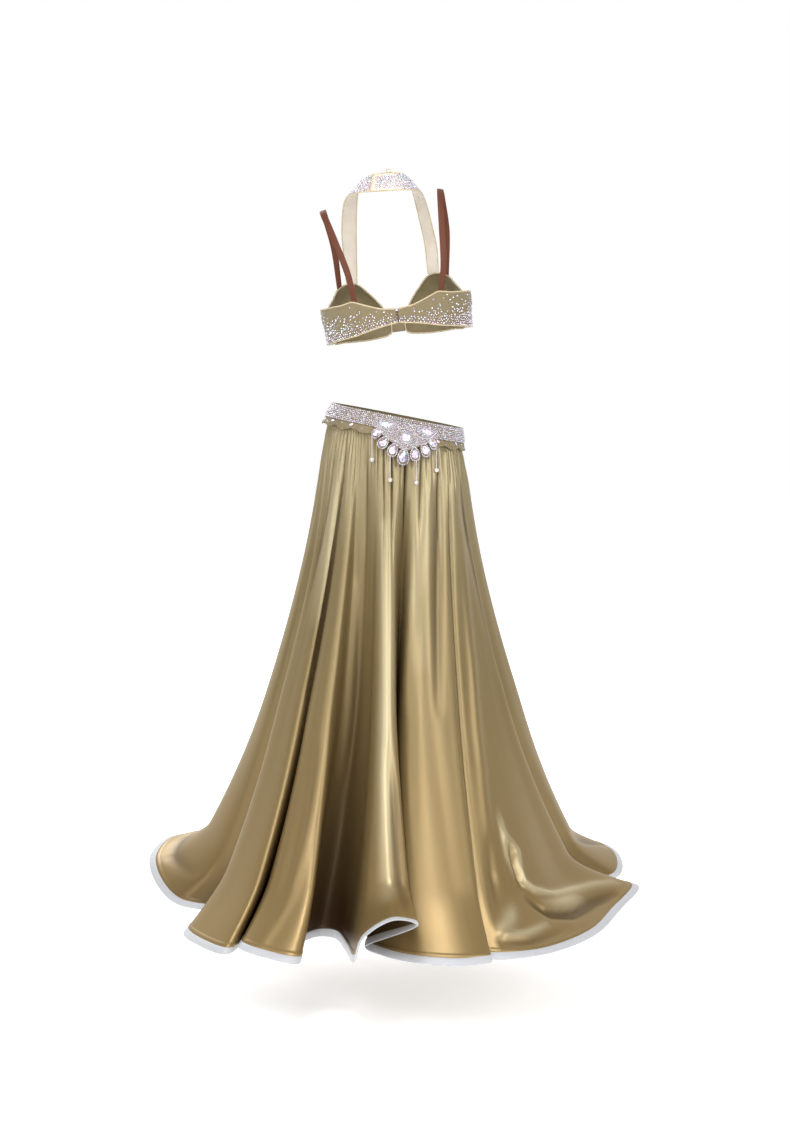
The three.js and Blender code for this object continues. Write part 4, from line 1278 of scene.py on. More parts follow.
@dataclass
class Belt:
    """Nude yoke with a wavy lower edge, the stoned band, the raised motif and its bead strands."""

    half_width: float = 0.117
    half_depth: float = 0.093
    flare_width: float = 0.33
    flare_depth: float = 0.27
    lean: float = 11.0
    band_depth: float = 0.025
    yoke_depth: float = 0.038
    yoke_wave: float = 0.0022
    yoke_waves: int = 9
    yoke_wall: float = 0.0014
    band_wall: float = 0.0018
    seam_gap: float = 0.0003
    seam_turn: float = 0.08
    columns: int = 220
    stone: float = 0.0032
    motif_across: float = -0.024
    motif_half: float = 0.070
    motif_top: float = 0.007
    side_depth: float = 0.024
    middle_depth: float = 0.058
    plate: float = 0.0015
    pearl: float = 0.0084
    seed_bead: float = 0.0021
    drop_off: float = 0.0036
    drop_below: float = 0.0004
    yoke_rows: tuple[float, ...] = (0.0, 0.25, 0.5, 0.68, 0.8, 0.88, 0.93, 0.97, 1.0)
    roll_from: float = 0.88
    roll: float = 0.0007
    pucker: float = 0.0004
    pucker_pace: float = 190.0
    band_edge: float = 0.04
    band_full: float = 0.8
    # the band's rows of stones: how many, where they start, and what they leave of its depth
    stone_rows: int = 8
    first_row: float = 0.0018
    row_margin: float = 0.003
    girth_slack: float = 1.02
    row_growth: float = 0.12
    motif_margin: float = 0.004
    stone_sizes: tuple[float, ...] = (0.72, 0.95, 1.1)
    size_shares: tuple[float, ...] = (0.3, 0.5, 0.2)
    # the yoke's stones: how many, and width, length and height of both kinds
    yoke_count: int = 15
    yoke_pointed: Triple = (0.0042, 0.0088, 0.0018)
    yoke_round: Triple = (0.0034, 0.0034, 0.0014)
    petal_share: float = 0.78  # of the petal's size, for its large stone
    petal_height: float = 0.0036
    rim_stone: Triple = (0.0028, 0.0028, 0.0014)
    rim_pace: float = 0.62  # stones in a rim for each millimetre of the petal's length and width
    rim_taper: float = 0.3
    backing: Triple = (1.08, 1.04, 0.0022)  # shares of width and length, and height
    arc_pitch: float = 0.0028
    arc_pearl: Triple = (0.0023, 0.0023, 0.0012)
    paving_pitch: float = 0.0031
    # across and down in millimetres, for one side
    pearl_arcs: tuple[tuple[tuple[int, int], ...], ...] = (
        ((67, 13), (52, 25), (35, 29), (20, 25), (13, 17)),
        ((58, 21), (46, 34), (31, 40), (18, 42), (9, 46)),
    )
    # cut, across, down, long, wide in millimetres and the turn in degrees, for one side
    motif_stones: tuple[tuple[Cut, float, float, float, float, float], ...] = (
        (Cut.PEAR, 0, 66, 28, 20, 0),
        (Cut.PEAR, 21, 58, 23, 17, 14),
        (Cut.PEAR, 41, 48, 23, 17, 28),
        (Cut.PEAR, 57, 34, 22, 15, 44),
        (Cut.NAVETTE, 44, 17, 28, 12, 78),
        (Cut.SQUARE, 0, 33, 19, 20, 0),
    )
    # motif stone, side and length in millimetres
    drops: tuple[tuple[int, int, float], ...] = ((3, 1, 45), (1, 1, 46), (1, -1, 42), (3, -1, 42))

    def point(self, turn: Array, depth: Array, off: Amount) -> Array:
        """Points of the belt.

        Args:
            turn: Turns from +X in degrees.
            depth: Depths below the top ring.
            off: Distances off the body.

        Returns:
            The points.
        """
        angle = np.radians(turn)
        width = self.half_width + self.flare_width * depth + off
        length = self.half_depth + self.flare_depth * depth + off
        flat = np.stack([width * np.cos(angle), length * np.sin(angle), -depth + 0 * angle], axis=-1)
        return leaned(flat, self.lean)

    def set_in(self, turn: Array, depth: Array, off: Amount) -> tuple[Array, Array, Array]:
        """Points of the belt, with the way across and the outward normal of each."""
        centre = self.point(turn, depth, off)
        across = unit(self.point(turn - 0.5, depth, off) - centre)
        down = unit(self.point(turn, depth + 0.001, off) - centre)
        return centre, across, unit(np.cross(across, -down))

    def half_way(self, first: float) -> tuple[Array, Array]:
        """Shares of the way round one half of the belt, and their turns from seam to seam."""
        share = np.linspace(0.0, 1.0, self.columns + 1)[None, :]
        return share, first + self.seam_turn + (180 - 2 * self.seam_turn) * share

    def lower_edge(self, share: Array) -> Array:
        """Depth of the yoke's lower edge at a share of the way round one half."""
        return self.yoke_depth + self.yoke_wave * np.sin(2 * np.pi * self.yoke_waves * share)

    def yoke(self, name: str, first: float, material: Material) -> Piece:
        """Makes half of the yoke, with a turned lower edge.

        Args:
            name: Which half.
            first: The turn at which it starts.
            material: The stretch cloth.

        Returns:
            The piece.
        """
        share, turn = self.half_way(first)
        rows = np.array(self.yoke_rows)[:, None]
        depth = self.lower_edge(share) * rows
        edge = np.clip((rows - self.roll_from) / (1 - self.roll_from), 0.0, 1.0)
        roll = self.roll * np.sin(np.pi * edge) + self.pucker * np.sin(share * self.pucker_pace) * rows**3
        sides = [self.point(turn + 0 * rows, depth, off) for off in (self.yoke_wall + roll, 0.0)]
        return sewn(f"yoke_{name}", shell(*sides), material, "nude_stretch", f"belt_yoke_{name}")

    def band(self, name: str, first: float, material: Material) -> Piece:
        """Makes half of the band that carries the stones."""
        share, turn = self.half_way(first)
        rows = np.linspace(0.0, 1.0, 6)[:, None]
        base = self.yoke_wall + self.seam_gap
        depth = self.band_depth * rows + 0 * share
        round_off = 0.5 * np.sin(np.pi * np.clip(rows, self.band_edge, 1 - self.band_edge)) ** 0.3 + 0.5
        tops = (base + self.band_wall * round_off * self.band_full, base)
        sides = [self.point(turn + 0 * rows, depth, off) for off in tops]
        return sewn(f"band_{name}", shell(*sides), material, "stoned_cloth", f"belt_band_{name}")

    def band_stones(self, name: str, first: float, material: Material) -> Piece:
        """Sets the band's close rows of small stones, and the few on the yoke below."""
        tray = StoneTray(seed=11 + int(first))
        girth = 0.5 * math.pi * (self.half_width + self.half_depth) * self.girth_slack
        base = self.yoke_wall + self.seam_gap + self.band_wall * self.band_full
        for row in range(self.stone_rows):
            depth = self.first_row + row * (self.band_depth - self.row_margin) / (self.stone_rows - 1)
            count = int(girth * (1 + self.row_growth * row / self.stone_rows) / self.stone)
            share = (np.arange(count) + 0.5 * (row % 2)) / count
            share = share + tray.chance.normal(0, 0.12 / count, count)
            turn = first + 180 * np.clip(share, 0.002, 0.998)
            deep = depth + tray.chance.normal(0, 0.0003, count)
            if first == 0.0:
                across = (90 - turn) * math.radians(1.0) * self.half_width**2 / self.half_depth
                beside = np.abs(across - self.motif_across) > self.motif_half - self.motif_margin
                open_cloth = beside | (deep < self.motif_top)
                turn, deep = turn[open_cloth], deep[open_cloth]
            size = self.stone * tray.chance.choice(self.stone_sizes, len(turn), p=self.size_shares)
            tray.strew(*self.set_in(turn, deep, base), size, 0.16)
        self.yoke_stones(tray, first)
        return tray.set_out(f"band_stones_{name}", material)

    def yoke_stones(self, tray: StoneTray, first: float) -> None:
        """Adds the scattered stones of one half of the yoke to a tray."""
        count = self.yoke_count
        share = (np.arange(count) + tray.chance.uniform(0.2, 0.8, count)) / count
        deep = self.band_depth + tray.chance.uniform(0.003, 0.009, count)
        centre, way, normal = self.set_in(first + 180 * share, deep, self.yoke_wall)
        lean = tray.chance.uniform(-0.9, 0.9, count)[:, None]
        slant = way * np.cos(lean) + np.cross(normal, way) * np.sin(lean)
        across = np.cross(normal, slant)
        pointed = np.arange(count) % 2 == 0
        tray.add(Cut.NAVETTE, centre[pointed], across[pointed], normal[pointed], *self.yoke_pointed)
        tray.add(Cut.CHATON, centre[~pointed], slant[~pointed], normal[~pointed], *self.yoke_round)

    def on_motif(self, flat: Array) -> tuple[Array, Array, Array]:
        """Bends flat points of the motif on to the belt.

        Args:
            flat: How far across, up and off the band each point is.

        Returns:
            The points, and the way across and the outward normal at each.
        """
        back_radius = self.half_width**2 / self.half_depth
        turn = 90 - np.degrees((self.motif_across + flat[..., 0]) / back_radius)
        base = self.yoke_wall + self.band_wall + 2 * self.seam_gap
        return self.set_in(turn, -flat[..., 1], base + flat[..., 2])

    def lower_reach(self, share: Array) -> Array:
        """How far down the motif's plate reaches, at a share of the way to its side."""
        return self.middle_depth + (self.side_depth - self.middle_depth) * np.abs(share)

    def motif_plate(self, material: Material) -> Piece:
        """Makes the flat plate that carries the motif's stones."""
        share = np.linspace(-1.0, 1.0, 61)[None, :]
        rows = np.linspace(0.0, 1.0, 15)[:, None]
        lower = self.lower_reach(share)
        down = self.motif_top + (lower - self.motif_top) * rows
        sides = []
        for height in (self.plate, 0.0):
            flat = np.stack([share * self.motif_half + 0 * rows, -down, 0 * down + height], axis=-1)
            sides.append(self.on_motif(flat)[0])
        return sewn("motif_plate", shell(*sides), material, "stoned_cloth", "belt_applique")

    def petals(self, tray: StoneTray, backs: StoneTray) -> None:
        """Sets the motif's large stones, each in a rim of small ones."""
        for cut, across, down, long, wide, turn in self.motif_stones:
            for side in (1, -1) if across else (1,):
                lean = math.radians(side * turn)
                middle = np.array([side * across, -down]) * MM
                up = np.array([-math.sin(lean), math.cos(lean)])
                beside = np.array([math.cos(lean), math.sin(lean)])
                seat = self.plate * 0.6
                centre, _, normal = self.on_motif(np.array([[*middle, seat]]))
                away = self.on_motif(np.array([[*(middle + beside * MM), seat]]))[0]
                size = self.petal_share * MM
                tray.add(cut, centre, away - centre, normal, wide * size, long * size, self.petal_height)
                count = int((wide + long) * self.rim_pace)
                angle = 2 * np.pi * (np.arange(count) + 0.5) / count
                taper = 1 - self.rim_taper * np.sin(angle)
                rim_x = np.cos(angle) * wide * 0.5 * taper * MM
                rim_y = np.sin(angle) * long * 0.5 * MM
                spots = middle + rim_x[:, None] * beside + rim_y[:, None] * up
                flat = np.column_stack([spots, np.full(count, self.plate * 0.7)])
                tray.add(Cut.CHATON, *self.on_motif(flat), *self.rim_stone)
                spot, _, out = self.on_motif(np.array([[*middle, self.plate * 0.2]]))
                wider, longer, high = self.backing
                backs.add(Cut.ROUND, spot, away - centre, out, wide * MM * wider, long * MM * longer, high)

    def pearl_lines(self, pearls: StoneTray) -> None:
        """Sets the mirrored arcs of pearls across the motif."""
        for arc in self.pearl_arcs:
            line = np.array(arc, dtype=float)
            fine = curve(line, np.linspace(0, len(line) - 1, 60), False)
            for side in (1, -1):
                high = np.full(len(fine), self.plate + 0.001)
                flat = np.column_stack([side * fine[:, 0] * MM, -fine[:, 1] * MM, high])
                beads = beads_along(flat, self.arc_pitch)
                pearls.add(Cut.BEAD, *self.on_motif(beads), *self.arc_pearl)

    def paving(self, tray: StoneTray) -> None:
        """Fills the rest of the plate with small stones."""
        pitch = self.paving_pitch
        xs = np.arange(-self.motif_half, self.motif_half, pitch)
        for row, down in enumerate(np.arange(self.motif_top + 0.001, self.middle_depth, pitch * 0.88)):
            x = xs + (row % 2) * pitch / 2 + tray.chance.normal(0, 0.0002, len(xs))
            x = x[down < self.lower_reach(x / self.motif_half) - 0.001]
            if not len(x):
                continue
            flat = np.column_stack([x, np.full(len(x), -down), np.full(len(x), self.plate)])
            size = pitch * tray.chance.uniform(0.75, 0.98, len(x))
            tray.strew(*self.on_motif(flat), size, 0.12, 0.4)

    def strands(self, pearls: StoneTray) -> None:
        """Hangs the strands of beads from the tips of four stones."""
        for stone, side, length in self.drops:
            _, across, down, long, _, turn = self.motif_stones[stone]
            lean = math.radians(side * turn)
            up = np.array([-math.sin(lean), math.cos(lean)])
            spot = (np.array([side * across, -down]) - up * long / 2) * MM
            top = self.on_motif(np.array([[*spot, self.drop_off]]))[0][0] - (0.0, 0.0, self.drop_below)
            beads = np.arange(self.seed_bead * 0.4, length * MM - self.pearl * 0.9, self.seed_bead * 0.98)
            small = len(beads)
            centres = np.tile(top, (small + 1, 1))
            centres[:small, 2] -= beads
            centres[small, 2] -= length * MM - self.pearl / 2
            sizes = np.append(np.full(small, self.seed_bead), self.pearl)
            way = np.tile((1.0, 0.0, 0.0), (small + 1, 1))
            up_way = np.tile((0.0, 0.0, 1.0), (small + 1, 1))
            pearls.add(Cut.BEAD, centres, way, up_way, sizes, sizes, sizes / 2)

    def build(self) -> None:
        """Builds the belt."""
        nude = NudeStretch().make()
        crystal, pearl = Crystal().make(), Pearl().make()
        for name, first in (("back", 0.0), ("front", 180.0)):
            yoke = self.yoke(name, first, nude)
            band = self.band(name, first, nude)
            stones = self.band_stones(name, first, crystal)
        plate = self.motif_plate(nude)
        tray, pearls, backs = (StoneTray(seed=seed) for seed in (5, 6, 7))
        self.petals(tray, backs)
        backs.set_out("motif_backs", nude, "stoned_cloth")
        self.paving(tray)
        self.pearl_lines(pearls)
        self.strands(pearls)
        stones = tray.set_out("motif_stones", crystal)
        drops = (f"bead_drop_{number}" for number in range(1, len(self.drops) + 1))
        pearls.set_out("motif_pearls", pearl, "pearl", *drops).data.shade_smooth()


# The bra top


@dataclass
class Ribs:
    """The ring round the ribs on which the bra top sits."""

    centre: float = 0.175
    lean: float = -7.2
    half_width: float = 0.129
    back_depth: float = 0.095
    front_depth: float = 0.106
    spread: float = 0.005

    def leaned(self, points: Array) -> Array:
        """Points, leaned as the ring is."""
        return leaned(points, self.lean, self.centre)

    def point(self, angle: Array, side: int, height: Array, off: Amount) -> Array:
        """Points of the ring.

        Args:
            angle: Angles from the centre back, in degrees.
            side: 1 towards the left and -1 towards the right.
            height: Heights before the ring is leaned.
            off: Distances off the body.

        Returns:
            The points.
        """
        rise = self.spread * smooth((height - self.centre + 0.03) / 0.06)
        depth = np.where(angle < 90, self.back_depth, self.front_depth)
        turn = np.radians(angle)
        flat = np.stack(
            [
                side * (self.half_width + rise + off) * np.sin(turn),
                (depth + rise + off) * np.cos(turn),
                height + 0 * turn,
            ],
            axis=-1,
        )
        return self.leaned(flat)


@dataclass
class Bra:
    """Back band, cups, bridge and hook."""

    ribs: Ribs = field(default_factory=Ribs)
    wall: float = 0.002
    side_angle: float = 112.0
    piping: float = 0.0013
    # angle from the centre back, upper edge and lower edge in millimetres
    edges: Table = (
        (0, 188, 165), (12, 191, 161), (24, 201, 156), (34, 210, 151), (46, 206, 148),
        (66, 205, 144), (90, 205, 142), (112, 203, 143),
    )
    cup_edge: Table = (
        (112, -78, 226), (103, -90, 240), (94, -97, 246), (85, -103, 249), (66, -110, 247),
        (50, -113, 232), (30, -114, 208), (17, -112, 186), (12, -109, 168), (14, -106, 149),
        (44, -101, 142), (76, -88, 141), (102, -66, 142),
    )
    cup_height: float = 0.047
    cup_fullness: float = 2.3
    cup_wall: float = 0.003
    seam_angle: float = 1.1
    outward: tuple[float, float] = (0.3, 0.08)
    columns: int = 150
    seam_turn: float = 0.07
    # creases that the hook pulls, and the thinner rim of the band
    pull: float = 0.0005
    pull_fade: float = 12.0
    pull_pace: float = 19.0
    rim_loss: float = 0.35
    rim_fade: float = 0.04
    # the band's scattered stones: their pitch and their rows, of which the upper ones stray more
    stone_pitch: float = 0.0048
    stone_rows: int = 16
    first_row: float = 0.0024
    last_even_row: int = 5
    dense_level: float = 0.33
    top_level: float = 0.93
    stone_sizes: tuple[float, ...] = (0.0026, 0.0031, 0.0037)
    size_shares: tuple[float, ...] = (0.3, 0.45, 0.25)
    # the cup's scattered stones: columns and rings of places, and size
    cup_columns: int = 110
    cup_rings: int = 40
    cup_stone: float = 0.003
    cup_room: float = 0.0042
    # the bridge: half of its width, its upper and lower height, and how far it stands forward
    bridge_half: float = 0.0115
    bridge_top: float = 0.188
    bridge_foot: float = 0.151
    bridge_out: float = 0.1085
    # the hook: half of its height and of its width, and its wire's radius
    hook: Triple = (0.0055, 0.0014, 0.0006)
    hook_centre: float = 0.174

    def facing(self, side: int) -> Array:
        """The way that a cup faces."""
        return np.array([side * self.outward[0], -1.0, self.outward[1]])

    def edge_heights(self, angle: Array) -> tuple[Array, Array]:
        """Heights of the band's upper and lower edges, with their corners eased."""
        table = np.array(self.edges)
        reach = np.linspace(-2.5, 2.5, 7)
        around = np.clip(angle[..., None] + reach, 0.0, self.side_angle)
        upper = np.interp(around, table[:, 0], table[:, 1]).mean(axis=-1) * MM
        lower = np.interp(around, table[:, 0], table[:, 2]).mean(axis=-1) * MM
        return upper, lower

    def on_wing(self, side: int, angle: Array, share: Array, off: Amount) -> Array:
        """Points of the back band, at shares of the way from its upper to its lower edge."""
        upper, lower = self.edge_heights(angle)
        return self.ribs.point(angle, side, upper + (lower - upper) * share, off)

    def wing(self, side: int, name: str, material: Material) -> Piece:
        """Makes half of the back band.

        Args:
            side: 1 for the left and -1 for the right.
            name: The side's name.
            material: The stretch cloth.

        Returns:
            The piece.
        """
        angle = np.linspace(self.seam_turn, self.side_angle - self.seam_turn, self.columns + 1)[None, :]
        rows = np.linspace(0.0, 1.0, 14)[:, None]
        pulls = self.pull * np.exp(-angle / self.pull_fade) * np.sin(rows * self.pull_pace)
        rim = 1 - self.rim_loss * (np.exp(-rows / self.rim_fade) + np.exp(-(1 - rows) / self.rim_fade))
        angles, shares = angle + 0 * rows, rows + 0 * angle
        sides = [self.on_wing(side, angles, shares, off) for off in (self.wall * rim + pulls, 0.0)]
        return sewn(f"back_band_{name}", shell(*sides), material, "nude_stretch", f"wing_{name}")

    def wing_piping(self, side: int, name: str, material: Material) -> Piece:
        """Makes the piping along the band's edges."""
        angle = np.linspace(0.4, self.side_angle - 0.4, 160)
        lines = [self.on_wing(side, angle, 0 * angle + share, self.wall * 0.6) for share in (0, 1)]
        cords = joined([tube(line, self.piping, 8) for line in lines])
        return sewn(f"band_piping_{name}", cords, material, "nude_stretch")

    def wing_stones(self, side: int, name: str, material: Material) -> Piece:
        """Sets stones close together at the band's lower edge and thinner above."""
        tray = StoneTray(seed=30 + side)
        girth = self.ribs.point(np.linspace(0, self.side_angle, 60), side, np.full(60, 0.165), 0.0)
        length = float(np.linalg.norm(np.diff(girth, axis=0), axis=1).sum())
        count = int(length / self.stone_pitch)
        kept: list[tuple[float, float]] = []
        for row in range(self.stone_rows):
            loose = row > self.last_even_row
            up = self.first_row + row * self.stone_pitch * 0.9
            share = (np.arange(count) + 0.5 * (row % 2)) / count
            stray = tray.chance.normal(0, 0.42 + 0.5 * loose, count)
            angle = np.clip(share * self.side_angle + stray, 1.0, self.side_angle - 1.0)
            upper, lower = self.edge_heights(angle)
            level = up / (upper - lower)
            chance = np.where(level < self.dense_level, 1.0, np.clip(0.9 - 0.95 * level, 0.2, 1.0))
            keep = (tray.chance.random(count) < chance) & (level < self.top_level)
            strayed = level[keep] + tray.chance.normal(0, 0.016 + 0.01 * loose, keep.sum())
            kept += list(zip(angle[keep], strayed))
        angle, level = np.array(kept).T
        centre = self.on_wing(side, angle, 1 - level, self.wall)
        way = unit(self.on_wing(side, angle + 0.5, 1 - level, self.wall) - centre)
        above = self.on_wing(side, angle, 1 - level - 0.02, self.wall)
        normal = facing(unit(np.cross(way, above - centre)), centre * (1, 1, 0))
        size = tray.chance.choice(self.stone_sizes, len(angle), p=self.size_shares)
        tray.strew(centre, way, normal, size, 0.15)
        return tray.set_out(f"band_scatter_{name}", material)

    def cup_rim(self, side: int, count: int) -> Array:
        """Points round a cup's edge."""
        upper, lower = (np.array(self.edges)[-1, 1:] * MM).tolist()
        shares = np.linspace(0, 1, 5)
        angle = np.full(5, self.side_angle + self.seam_angle)
        seam = self.ribs.point(angle, side, lower + (upper - lower) * shares, self.wall / 2)
        edge = np.array(self.cup_edge) * MM * (side, 1, 1)
        outline = np.concatenate([seam, self.ribs.leaned(edge)])
        return curve(outline, np.linspace(0, len(outline), count, endpoint=False), True)

    def cup_surface(self, side: int, columns: int, rings: int, offset: float) -> Array:
        """Grid of a cup's dome, from its middle to its edge, closed round."""
        rim = self.cup_rim(side, columns)
        rim = np.concatenate([rim, rim[:1]])
        centre = rim[:-1].mean(axis=0)
        out = unit(self.facing(side))
        share = np.linspace(0.02, 1.0, rings)[:, None, None]
        seam = 0.0008 * np.exp(-((np.abs(rim[:, 2] - centre[2]) / 0.004) ** 2))[None, :, None]
        lift = self.cup_height * (1 - share**self.cup_fullness) + offset - seam * (1 - share)
        return centre + (rim[None] - centre) * share + out * lift

    def cup(self, side: int, name: str, material: Material) -> Piece:
        """Makes a moulded cup with a seam across it."""
        sides = [self.cup_surface(side, 96, 22, off) for off in (self.cup_wall / 2, -self.cup_wall / 2)]
        return sewn(f"cup_cloth_{name}", shell(*sides), material, "nude_stretch", f"cup_{name}")

    def cup_stones(self, side: int, name: str, material: Material) -> Piece:
        """Sets stones round a cup's edge, thinner towards its middle."""
        tray = StoneTray(seed=40 + side)
        columns, last = self.cup_columns, self.cup_rings - 1
        grid = self.cup_surface(side, columns, self.cup_rings, self.cup_wall / 2)[:, :-1]
        normal = facing(normals_of(grid), self.facing(side))
        ring, column = np.meshgrid(np.arange(12, last, 2), np.arange(columns), indexing="ij")
        level = ring / last
        around = 2 * np.pi * level * 0.075 / columns
        room = around > tray.chance.random(level.shape) * self.cup_room
        keep = room & (tray.chance.random(level.shape) < np.clip((level - 0.3) * 1.7, 0.06, 0.95))
        ring, column = ring[keep], column[keep]
        count = len(ring)
        size = self.cup_stone * tray.chance.choice([0.7, 0.95, 1.1], count)
        out = normal[ring, column] + tray.chance.normal(0, 0.15, (count, 3))
        way = unit(tray.chance.normal(0, 1, (count, 3)))
        tray.add(Cut.CHATON, grid[ring, column], way, out, size, size, size * 0.42)
        return tray.set_out(f"cup_scatter_{name}", material)

    def rim_piping(self, side: int, name: str, material: Material) -> Piece:
        """Makes the piping round a cup's edge."""
        line = self.cup_rim(side, 120)
        inwards = unit(line.mean(axis=0) - line)
        seated = line + unit(self.facing(side)) * 0.0004 + inwards * 0.001
        cord = tube(seated, self.piping, 8, closed=True)
        return sewn(f"cup_piping_{name}", cord, material, "nude_stretch")

    def bridge(self, material: Material) -> Piece:
        """Makes the short piece between the cups."""
        x = np.linspace(-self.bridge_half, self.bridge_half, 17)[None, :]
        z = np.linspace(self.bridge_top, self.bridge_foot, 15)[:, None]
        soft = 0.0006 * np.cos(x / self.bridge_half * np.pi / 2) * np.sin((z - self.bridge_foot) * 500)
        sides = [
            self.ribs.leaned(np.stack([x + 0 * z, -self.bridge_out - off + 0 * x * z, z + 0 * x], axis=-1))
            for off in (0.002 + soft, 0 * soft)
        ]
        return sewn("bridge_cloth", shell(*sides), material, "nude_stretch", "bridge")

    def at_back(self, height: float, off: float) -> Array:
        """One point of the centre back, as a row."""
        return self.ribs.point(np.array([0.0]), 1, np.array([height]), self.wall + off)

    def clasp(self, material: Material) -> Piece:
        """Makes the flat hook and its eye at the centre back."""
        top = self.at_back(0.1815, 0.0011)[0]
        centre = np.array([top[0], top[1], self.hook_centre])
        tall, wide, wire = self.hook
        turn = np.linspace(0, 2 * np.pi, 40, endpoint=False)
        rise = tall * np.sin(turn) + 0.0016 * np.sign(np.sin(turn))
        loop = np.column_stack([wide * np.cos(turn), 0 * turn, rise])
        bars = [tube(loop + centre, wire, 8, closed=True)]
        for height in (-tall, 0.0, tall):
            bar = np.array([(-wide, 0, height), (0.0, 0.0, height), (wide, 0, height)])
            bars.append(tube(bar + centre, wire, 8))
        return sewn("clasp_metal", joined(bars), material, "hook_metal", "clasp_hook")

    def shade_strip(self, material: Material) -> Piece:
        """Makes a dark strip of elastic over the join of the two halves of the band: painted shade for the
        shadow line there.
        """
        angle = np.linspace(-0.75, 0.75, 5)[None, :]
        height = np.linspace(0.1868, 0.1662, 12)[:, None]
        sides = [
            self.ribs.point(angle + 0 * height, 1, height + 0 * angle, self.wall + off)
            for off in (0.0010, 0.0002)
        ]
        return sewn("closing_shade_strip", shell(*sides), material, "elastic")

    def closing_stone(self, material: Material) -> Piece:
        """Sets the one larger stone over the hook."""
        tray = StoneTray(seed=50)
        size = 0.0052
        ways = np.array([(1.0, 0.0, 0.0)]), np.array([(0.0, 1.0, 0.1)])
        tray.add(Cut.ROUND, self.at_back(0.1862, 0.0011), *ways, size, size, size * 0.45)
        return tray.set_out("closing_stone", material)

    def build(self) -> None:
        """Builds the band and the cups."""
        nude = NudeStretch().make()
        piping = NudeStretch("piping", *PIPING_TINTS).make()
        crystal = Crystal().make()
        for side, name in ((1, "left"), (-1, "right")):
            wing = self.wing(side, name, nude)
            trim = self.wing_piping(side, name, piping)
            stones = self.wing_stones(side, name, crystal)
            cup = self.cup(side, name, nude)
            self.rim_piping(side, name, piping)
            self.cup_stones(side, name, crystal)
        bridge = self.bridge(nude)
        self.clasp(Nickel().make())
        # painted shade: the dark strip over the band's join
        self.shade_strip(Elastic().make())
        self.closing_stone(crystal)


def tube(line: Array, radius: float, sides: int, closed: bool = False) -> Solid:
    """Round cord along a line of points.

    Args:
        line: The points.
        radius: The cord's radius.
        sides: Sides of its section.
        closed: True if its ends meet.

    Returns:
        The points and the faces.
    """
    if closed:
        way = unit(np.roll(line, -1, axis=0) - np.roll(line, 1, axis=0))
    else:
        way = unit(np.gradient(line, axis=0))
    hint = np.array([0.0, 0.0, 1.0]) if abs(way[:, 2]).mean() < 0.7 else np.array([0.0, 1.0, 0.0])
    side = unit(np.cross(way, hint))
    top = np.cross(side, way)
    angle = 2 * np.pi * np.arange(sides) / sides
    ring = np.cos(angle)[None, :, None] * side[:, None] + np.sin(angle)[None, :, None] * top[:, None]
    points = (line[:, None] + radius * ring).reshape(-1, 3)
    index = np.arange(len(points)).reshape(len(line), sides)
    index = np.concatenate([index, index[:, :1]], axis=1)
    if closed:
        index = np.concatenate([index, index[:1]])
    faces = [ring_of_quads(low, high) for low, high in zip(index[:-1], index[1:])]
    if not closed:
        points = np.concatenate([points, line[[0, -1]]])
        for end, row in ((2, index[0]), (1, index[-1])):
            hub = np.full(sides // 2, len(points) - end)
            faces.append(np.stack([hub, row[0:-1:2], row[1::2], row[2::2]], axis=-1))
    return points, outwards(points, np.concatenate(faces))


def joined(parts: Sequence[Solid]) -> Solid:
    """Points and faces of several meshes as one."""
    points, faces, count = [], [], 0
    for part_points, part_faces in parts:
        points.append(part_points)
        faces.append(part_faces + count)
        count += len(part_points)
    return np.concatenate(points), np.concatenate(faces)


# Straps and halter


